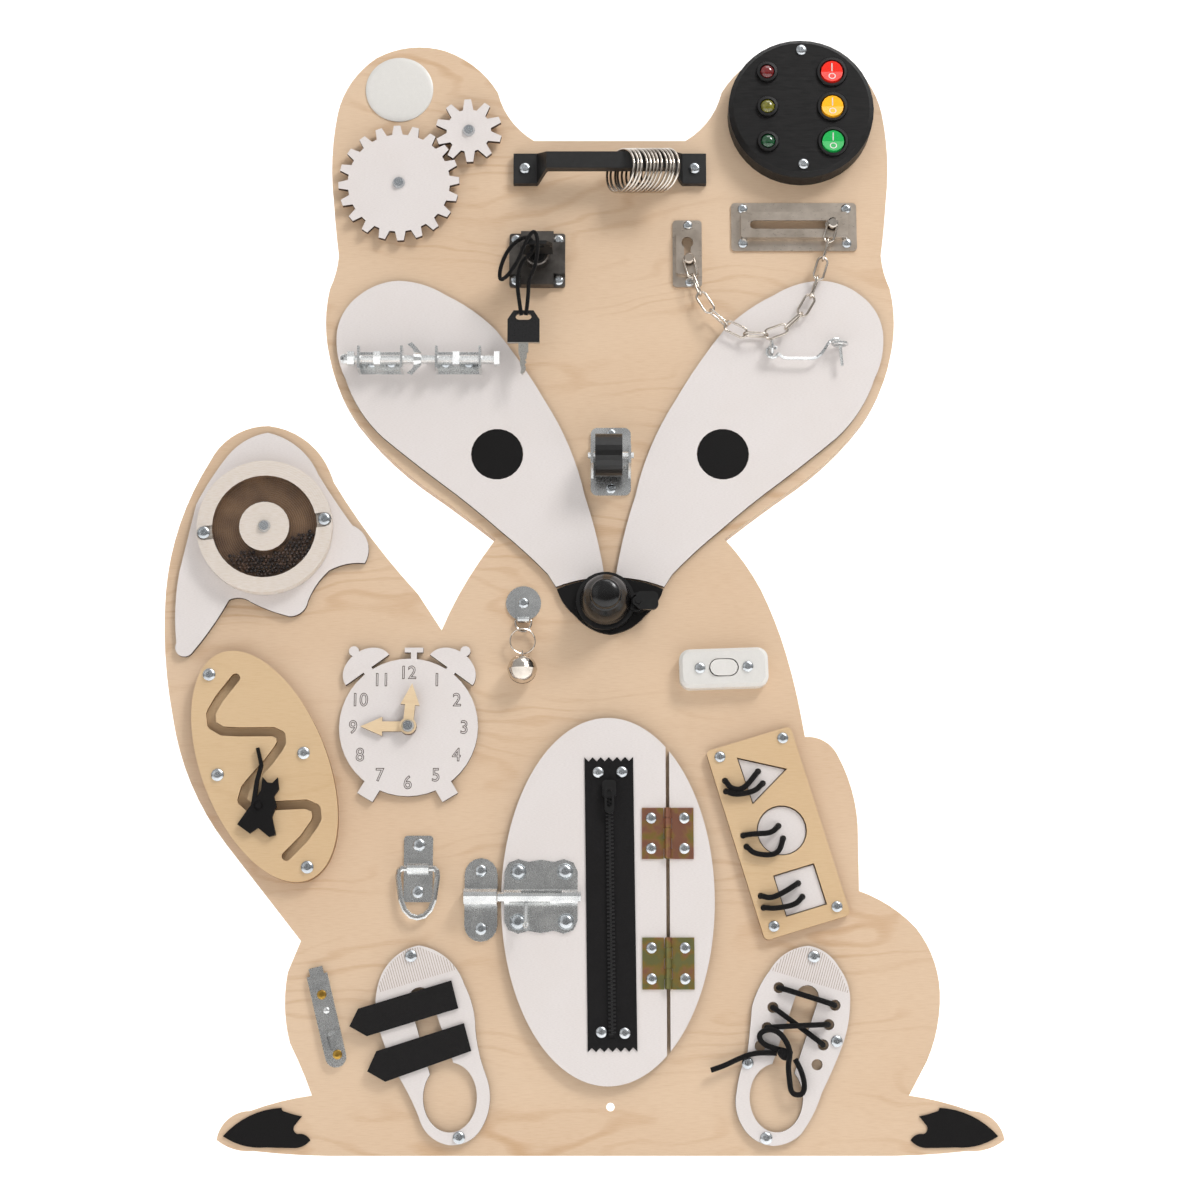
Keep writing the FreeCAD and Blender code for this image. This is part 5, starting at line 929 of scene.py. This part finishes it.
def lay_on(mark, body, proud_mm):
    """Moves each point of a flat mark on to the front of the first CAD node of a body."""
    target = frame["nodes"][frame["record"]["behaviour"]["bodies"][body][0]]
    inverse = target.matrix_world.inverted()
    for vertex in mark.data.vertices:
        start = Vector((vertex.co.x, -0.3, vertex.co.z))
        found, place, _, _ = target.ray_cast(inverse @ start, Vector((0, 1, 0)))
        if found:
            vertex.co.y = place.y - proud_mm * MM
    mark.data.update()
    return mark


class BOARD_OT_clock_numbers(bpy.types.Operator):
    """Engraved outlines of the numbers one to twelve on the clock face"""
    bl_idname = "board.clock_numbers"
    bl_label = "Clock numbers"

    def execute(self, context):
        made = []
        for hour in range(1, 13):
            angle = math.radians(90 - 30 * hour)
            place = at(-147.5 + 40.6 * math.cos(angle), 272.7 + 40.6 * math.sin(angle), PLATE + 0.06)
            made.append(text_mesh(str(hour), 13.6, place, (0.94, 1, 0.5), 0.26))
        dressed(joined(made, "clock_numbers"), "scorch", "base")
        return {"FINISHED"}


def ribbon_lines(name, lines, width_mm, h):
    """Thin flat strips that stand for engraved lines, each given by its end points."""
    made = []
    for (x0, y0), (x1, y1) in lines:
        length = math.hypot(x1 - x0, y1 - y0)
        strip = primitive("cube", size=1, scale=(length * MM, 0.12 * MM, width_mm * MM))
        turned(strip, -math.degrees(math.atan2(y1 - y0, x1 - x0)), "Y")
        made.append(placed(strip, (x0 + x1) / 2, (y0 + y1) / 2, h))
    return joined(made, name)


class BOARD_OT_toe_lines(bpy.types.Operator):
    """The fine engraved lines up the toes of the two shoes"""
    bl_idname = "board.toe_lines"
    bl_label = "Toe lines"

    def execute(self, context):
        lines = []
        for outline in (LEFT_TOE, RIGHT_TOE):
            low, high = Vector(outline[0]), Vector(outline[-1])
            along = (high - low).normalized()
            across = Vector((-along.y, along.x))
            count = 34
            for index in range(1, count):
                foot = low + (high - low) * index / count
                top = outline_height(outline, foot, along, across)
                if top > 2.4:
                    lines.append((tuple(foot), tuple(foot + across * (top - 1.2))))
        dressed(ribbon_lines("toe_lines", lines, 0.42, PLATE + 0.02), "groove", "base")
        return {"FINISHED"}


# The toe's outline on each shoe, as far as the engraved lines go.
LEFT_TOE = [(-166.3, 80.5), (-166.3, 87.6), (-157.9, 103.0), (-147.2, 112.3), (-137.8, 114.1),
            (-119.0, 106.1), (-108.5, 97.5)]
RIGHT_TOE = [(114.9, 96.4), (124.5, 107.3), (134.1, 113.0), (142.5, 113.8), (154.1, 109.4), (164.4, 97.9),
             (170.5, 83.5), (171.3, 79.8)]


def outline_height(outline, foot, along, across):
    """How far the outline is from a point of its chord, square to the chord."""
    best = 0.0
    for start, end in zip(outline, outline[1:]):
        a, b = Vector(start) - foot, Vector(end) - foot
        u0, u1 = a.dot(along), b.dot(along)
        if min(u0, u1) <= 0 <= max(u0, u1) and abs(u1 - u0) > 1e-6:
            share = -u0 / (u1 - u0)
            best = max(best, a.dot(across) * (1 - share) + b.dot(across) * share)
    return best


class BOARD_OT_beads(bpy.types.Operator):
    """The seeds that lie in the bottom of the drum"""
    bl_idname = "board.beads"
    bl_label = "Seeds"

    def execute(self, context):
        chance = random.Random(7)
        radius = sizes().bead_radius / MM
        tilt = math.radians(16.7)
        pitch = radius * 1.92
        rows = int(80 / pitch)
        low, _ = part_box("drum_beads")
        front = -(low.y / MM + FRONT) - radius - 0.1
        spots = []
        for row in range(-rows, rows):
            for column in range(-rows, rows):
                u = column * pitch + (pitch / 2 if row % 2 else 0) + chance.uniform(-0.35, 0.35)
                v = row * pitch * 0.87 + chance.uniform(-0.35, 0.35)
                away = math.hypot(u, v)
                drop = -u * math.sin(tilt) + v * math.cos(tilt)
                in_trough = 18.9 + radius < away < 37.9 - radius
                if not in_trough or drop > -10.8 - radius + chance.uniform(-1.0, 0.6):
                    continue
                h = front - chance.choice((0.0, 0.0, 0.35, 0.7))
                place = Matrix.Translation(at(DRUM_AT[0] + u, DRUM_AT[1] + v, h))
                spots.append(place @ Euler([chance.uniform(0, 6) for _ in range(3)]).to_matrix().to_4x4())
        seed = primitive("ico_sphere", subdivisions=1, radius=radius * MM)
        seed.data.transform(Matrix.Diagonal((1, 0.9, 0.95, 1)))
        seeds = dressed(copies_of(seed, spots, "drum_seeds"), "seed", None, 80)
        bpy.ops.object.shade_smooth()
        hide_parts("drum_beads")
        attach(seeds, "base")
        return {"FINISHED"}


# ---- cords: the same route points as in the part's source, h measured from the board's front

KEY_AT = (-64.6, 579.5, 22.0)
EYE_AT = (-55.0, 630.5, 39.3)
# Each step is given from the spare key's bow or from the eye of the lock's key.
KEY_CORD = (
    (KEY_AT, ((-1.6, 0.5, 3.2), (-3.4, 12, 5), (-5.0, 26, 8), (-2.0, 39, 12))),
    (EYE_AT, ((-2.2, -6, 0.5), (-3.0, 5, -1.0), (-10, 7.5, -4), (-20, 1.5, -9), (-27, -12, -13),
              (-28, -24, -14), (-21.5, -21.5, -10), (-13, -11, -2), (-7, 1, 8.5), (-1, 9, 9.5),
              (2, -2, 8.4), (-0.5, -17, -1))),
    (KEY_AT, ((3.8, 27, 8), (3.4, 12, 5.5), (1.8, 0.5, 3.4))),
)


def key_cord_points():
    return [tuple(a + b for a, b in zip(start, step)) for start, steps in KEY_CORD for step in steps]


# Each shape's two ties: the hole in the frame, two places where the cord hangs, the hole in the shape.
TIES = {
    "triangle": (((83.5, 232.9), (87.5, 226.6), (96.8, 226.0), (107.6, 240.0)),
                 ((84.2, 225.1), (90.0, 222.2), (104.5, 224.4), (111.0, 231.2))),
    "circle": (((96.3, 193.0), (105.0, 194.0), (116.6, 194.4), (121.9, 200.1)),
               ((98.6, 184.9), (104.2, 179.0), (121.2, 178.4), (125.2, 191.1))),
    "square": (((108.5, 149.4), (115.5, 147.2), (125.5, 152.0), (135.6, 158.6)),
               ((110.4, 140.9), (118.0, 140.0), (133.0, 142.6), (138.5, 148.9))),
}
EYELETS_LEFT = [(120.8, 84.0), (116.3, 70.0), (112.0, 55.7), (106.9, 42.8)]
EYELETS_RIGHT = [(160.8, 71.5), (156.1, 57.8), (151.9, 43.5), (147.3, 29.6)]
BOW_LOOP = [(124.6, 39.2, 8.0), (115.5, 41.2, 7.5), (108.0, 44.5, 7.0), (105.4, 50.5, 6.8),
            (111.2, 54.6, 8.2), (119.2, 53.2, 10.8), (125.4, 45.5, 12.2), (127.8, 37.6, 13.2),
            (126.0, 29.0, 12.0), (127.0, 19.0, 9.6), (128.4, 8.4, 7.6), (138.0, 8.4, 7.6),
            (137.2, 23.0, 10.0), (131.2, 33.4, 10.2)]
LACE_TAIL = [(118.6, 37.6, 7.2), (108.2, 38.2, 6.6), (98.2, 36.6, 6.4), (88.4, 32.4, 6.4),
             (79.6, 28.2, 6.6), (71.5, 25.7, 7.0)]


def cord_along(name, points, radius_mm):
    """A round cord on one smooth curve through the route, with the line that it really follows."""
    curve = bpy.data.curves.new(name, "CURVE")
    curve.dimensions = "3D"
    line = curve.splines.new("NURBS")
    line.points.add(len(points) - 1)
    for point, (x, y, h) in zip(line.points, points):
        point.co = (*at(x, y, h), 1.0)
    line.order_u = 3
    line.use_endpoint_u = True
    line.resolution_u = 6
    piece = bpy.data.objects.new(name, curve)
    bpy.context.scene.collection.objects.link(piece)
    bare = bpy.data.meshes.new_from_object(piece)
    path = [vertex.co.copy() for vertex in bare.vertices]
    bpy.data.meshes.remove(bare)
    curve.bevel_depth = radius_mm * MM
    curve.bevel_resolution = 3
    curve.use_fill_caps = True
    return piece, path


def free_cord(name, points, radius_mm, body=None):
    """A cord: a curve that rides on a body, or, with no body, a smooth-shaded mesh."""
    piece, path = cord_along(name, points, radius_mm)
    if body is None:
        only(piece)
        bpy.ops.object.convert(target="MESH")
        piece = bpy.context.object
        bpy.ops.object.shade_smooth()
    dressed(piece, "cord")
    if body:
        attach(piece, body)
    return piece


def eyelet_points(start, end, rise):
    """A lace's way up through one eyelet, over the tongue, and down through the other."""
    top = PLATE + 2.3
    middle = [[start[i] * (1 - t) + end[i] * t for i in (0, 1)] for t in (0.3, 0.7)]
    return [(*start, PLATE - 3.0), (*start, top + 0.4), (*middle[0], top + rise),
            (*middle[1], top + rise + 0.2), (*end, top + 0.3), (*end, PLATE - 3.0)]


class BOARD_OT_cords(bpy.types.Operator):
    """The key's cord, the cords that tie the shapes and the shoe's laces"""
    bl_idname = "board.cords"
    bl_label = "Cords"

    def execute(self, context):
        cord = free_cord("key_loop", key_cord_points(), 1.5)
        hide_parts("key_cord")
        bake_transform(cord)
        for body, cords in TIES.items():
            for side, (start, *sag, end) in zip("ab", cords):
                points = [(*start, BELLY - 3), *((*spot, BELLY + 3.4) for spot in (start, *sag)),
                          (*end, BELLY + 3.2), (*end, PLATE - 3)]
                tie = free_cord(body + "_tie_" + side, points, 2.0)
                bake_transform(tie)
        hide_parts("tie_cords")
        runs = ((0, 0, 1.0), (1, 2, 1.0), (2, 1, 5.6))
        for number, (left, right, rise) in enumerate(runs):
            route = eyelet_points(EYELETS_LEFT[left], EYELETS_RIGHT[right], rise)
            free_cord("lace_run_%d" % number, route, 2.0, "base")
        bow = free_cord("lace_bow", BOW_LOOP, 2.0, "base")
        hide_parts("shoe_laces")
        free_cord("lace_tail", LACE_TAIL, 2.0, "base")
        knot = lathe("lace_knot", [(2.6, 0), (4.4, 1.4), (5.0, 3.2), (4.6, 5.0), (3.0, 6.4), (0.8, 7.0)], 20)
        for vertex in knot.data.vertices:
            swell = 1 + 0.1 * math.sin(3 * math.atan2(vertex.co.z, vertex.co.x))
            vertex.co.x *= 1.1 * swell
            vertex.co.z *= 0.85 * swell
        placed(knot, 124.2, 37.0, PLATE + 2.6)
        dressed(knot, "cord", "base", 60)
        return {"FINISHED"}


def paint_nodes():
    """Every CAD node gets its finish."""
    for finish, names in NODES_IN.items():
        for name in names.split():
            node = frame["nodes"][name].data
            node.materials.clear()
            node.materials.append(FINISH[finish])


class BOARD_OT_finishes(bpy.types.Operator):
    """Makes every finish and gives it to the pieces of the frame"""
    bl_idname = "board.finishes"
    bl_label = "Finishes"

    def execute(self, context):
        make_finishes()
        paint_nodes()
        return {"FINISHED"}


class BOARD_OT_studio(bpy.types.Operator):
    """Pale floor and wall, soft lamps and the camera"""
    bl_idname = "board.studio"
    bl_label = "Studio"

    def execute(self, context):
        make_camera()
        make_floor_and_wall()
        for name, place, size, power in (
                ("key_light", (1.55, -1.85, 2.5), 0.9, 47.0),
                ("fill_light", (-2.0, -2.2, 1.0), 2.4, 6.5),
                ("top_light", (0.4, -0.9, 2.7), 1.2, 10.0)):
            data = bpy.data.lights.new(name, "AREA")
            data.size = size
            data.energy = power
            lamp = bpy.data.objects.new(name, data)
            context.scene.collection.objects.link(lamp)
            lamp.location = place
            aim = Vector((0, 0, 0.38)) - Vector(place)
            lamp.rotation_euler = aim.to_track_quat("-Z", "Y").to_euler()
        world = bpy.data.worlds.new("studio_air")
        world.use_nodes = True
        air = Nodes(world.node_tree)
        height = air.axes(air.add("TexCoord", {}).outputs[0])[2]
        shades = ((0.0, "6E6A66"), (0.42, "8A8682"), (0.6, "F4F4F4"), (1.0, "FFFFFF"))
        sky = air.tree.nodes["Background"].inputs
        air.fill(sky[0], air.ramp(air.grade(height, -0.6, 0.8, 0.0, 1.0), shades))
        air.fill(sky[1], 0.48)
        context.scene.world = world
        context.scene.view_settings.view_transform = "Standard"
        return {"FINISHED"}


def make_camera():
    """The photograph's view: in front of the board's foot and tilted up."""
    lens = bpy.data.cameras.new("photo_camera")
    lens.lens = 78.0
    lens.sensor_width = 36.0
    lens.clip_end = 20.0
    camera = bpy.data.objects.new("photo_camera", lens)
    bpy.context.scene.collection.objects.link(camera)
    camera.location = (-0.00748, -1.9017, -0.00875)
    camera.rotation_euler = (math.radians(90 + 11.3), 0, 0)
    bpy.context.scene.camera = camera


def make_floor_and_wall():
    """Pale studio paper under the board and behind it."""
    f = Finish("pale_studio_paper")
    f.surface(Base_Color=f.faded(f.noise(0.4, 2.0), 0.3, 0.7, 0.3, "FDFDFD", "F8F8F8"),
              Roughness=0.9, Emission_Color="FFFFFF", Emission_Strength=0.35)
    for name, length, lean, place in (("studio_sweep", 4.6, 0, (0, -1.9, -0.55)),
                                      ("studio_wall", 4.0, 90, (0, 0.4, 1.45))):
        sheet = primitive("plane", size=1)
        sheet.data.transform(Matrix.Diagonal((8.0, length, 1.0, 1.0)))
        shifted(turned(sheet, lean, "X"), place)
        sheet.name = name
        sheet.data.materials.append(f.made)


class BOARD_PT_panel(bpy.types.Panel):
    """Lists the board's pieces and their settings"""
    bl_label = "Busy Board"
    bl_idname = "BOARD_PT_panel"
    bl_space_type = "VIEW_3D"
    bl_region_type = "UI"
    bl_category = "Busy Board"

    def draw(self, context):
        for group in (context.scene.board_colours, context.scene.board_sizes):
            for name in group.bl_rna.properties.keys():
                if name not in ("rna_type", "name"):
                    self.layout.prop(group, name)
        for step in STEPS:
            self.layout.operator(step.bl_idname)


STEPS = (BOARD_OT_finishes, BOARD_OT_cords, BOARD_OT_screws, BOARD_OT_latch_screws, BOARD_OT_badge,
         BOARD_OT_rings, BOARD_OT_chain, BOARD_OT_lamps, BOARD_OT_bell, BOARD_OT_jingle, BOARD_OT_thread,
         BOARD_OT_zip_teeth, BOARD_OT_clock_numbers, BOARD_OT_toe_lines, BOARD_OT_beads, BOARD_OT_studio)
CLASSES = (BoardColours, BoardSizes, *STEPS, BOARD_PT_panel)


def register():
    for item in CLASSES:
        bpy.utils.register_class(item)
    bpy.types.Scene.board_colours = bpy.props.PointerProperty(type=BoardColours)
    bpy.types.Scene.board_sizes = bpy.props.PointerProperty(type=BoardSizes)


def unregister():
    del bpy.types.Scene.board_sizes
    del bpy.types.Scene.board_colours
    for item in reversed(CLASSES):
        bpy.utils.unregister_class(item)


def main():
    register()
    for step in STEPS:
        getattr(bpy.ops.board, step.bl_idname.split(".")[1])()
    nothing_selected()


if __name__ == "__main__":
    main()
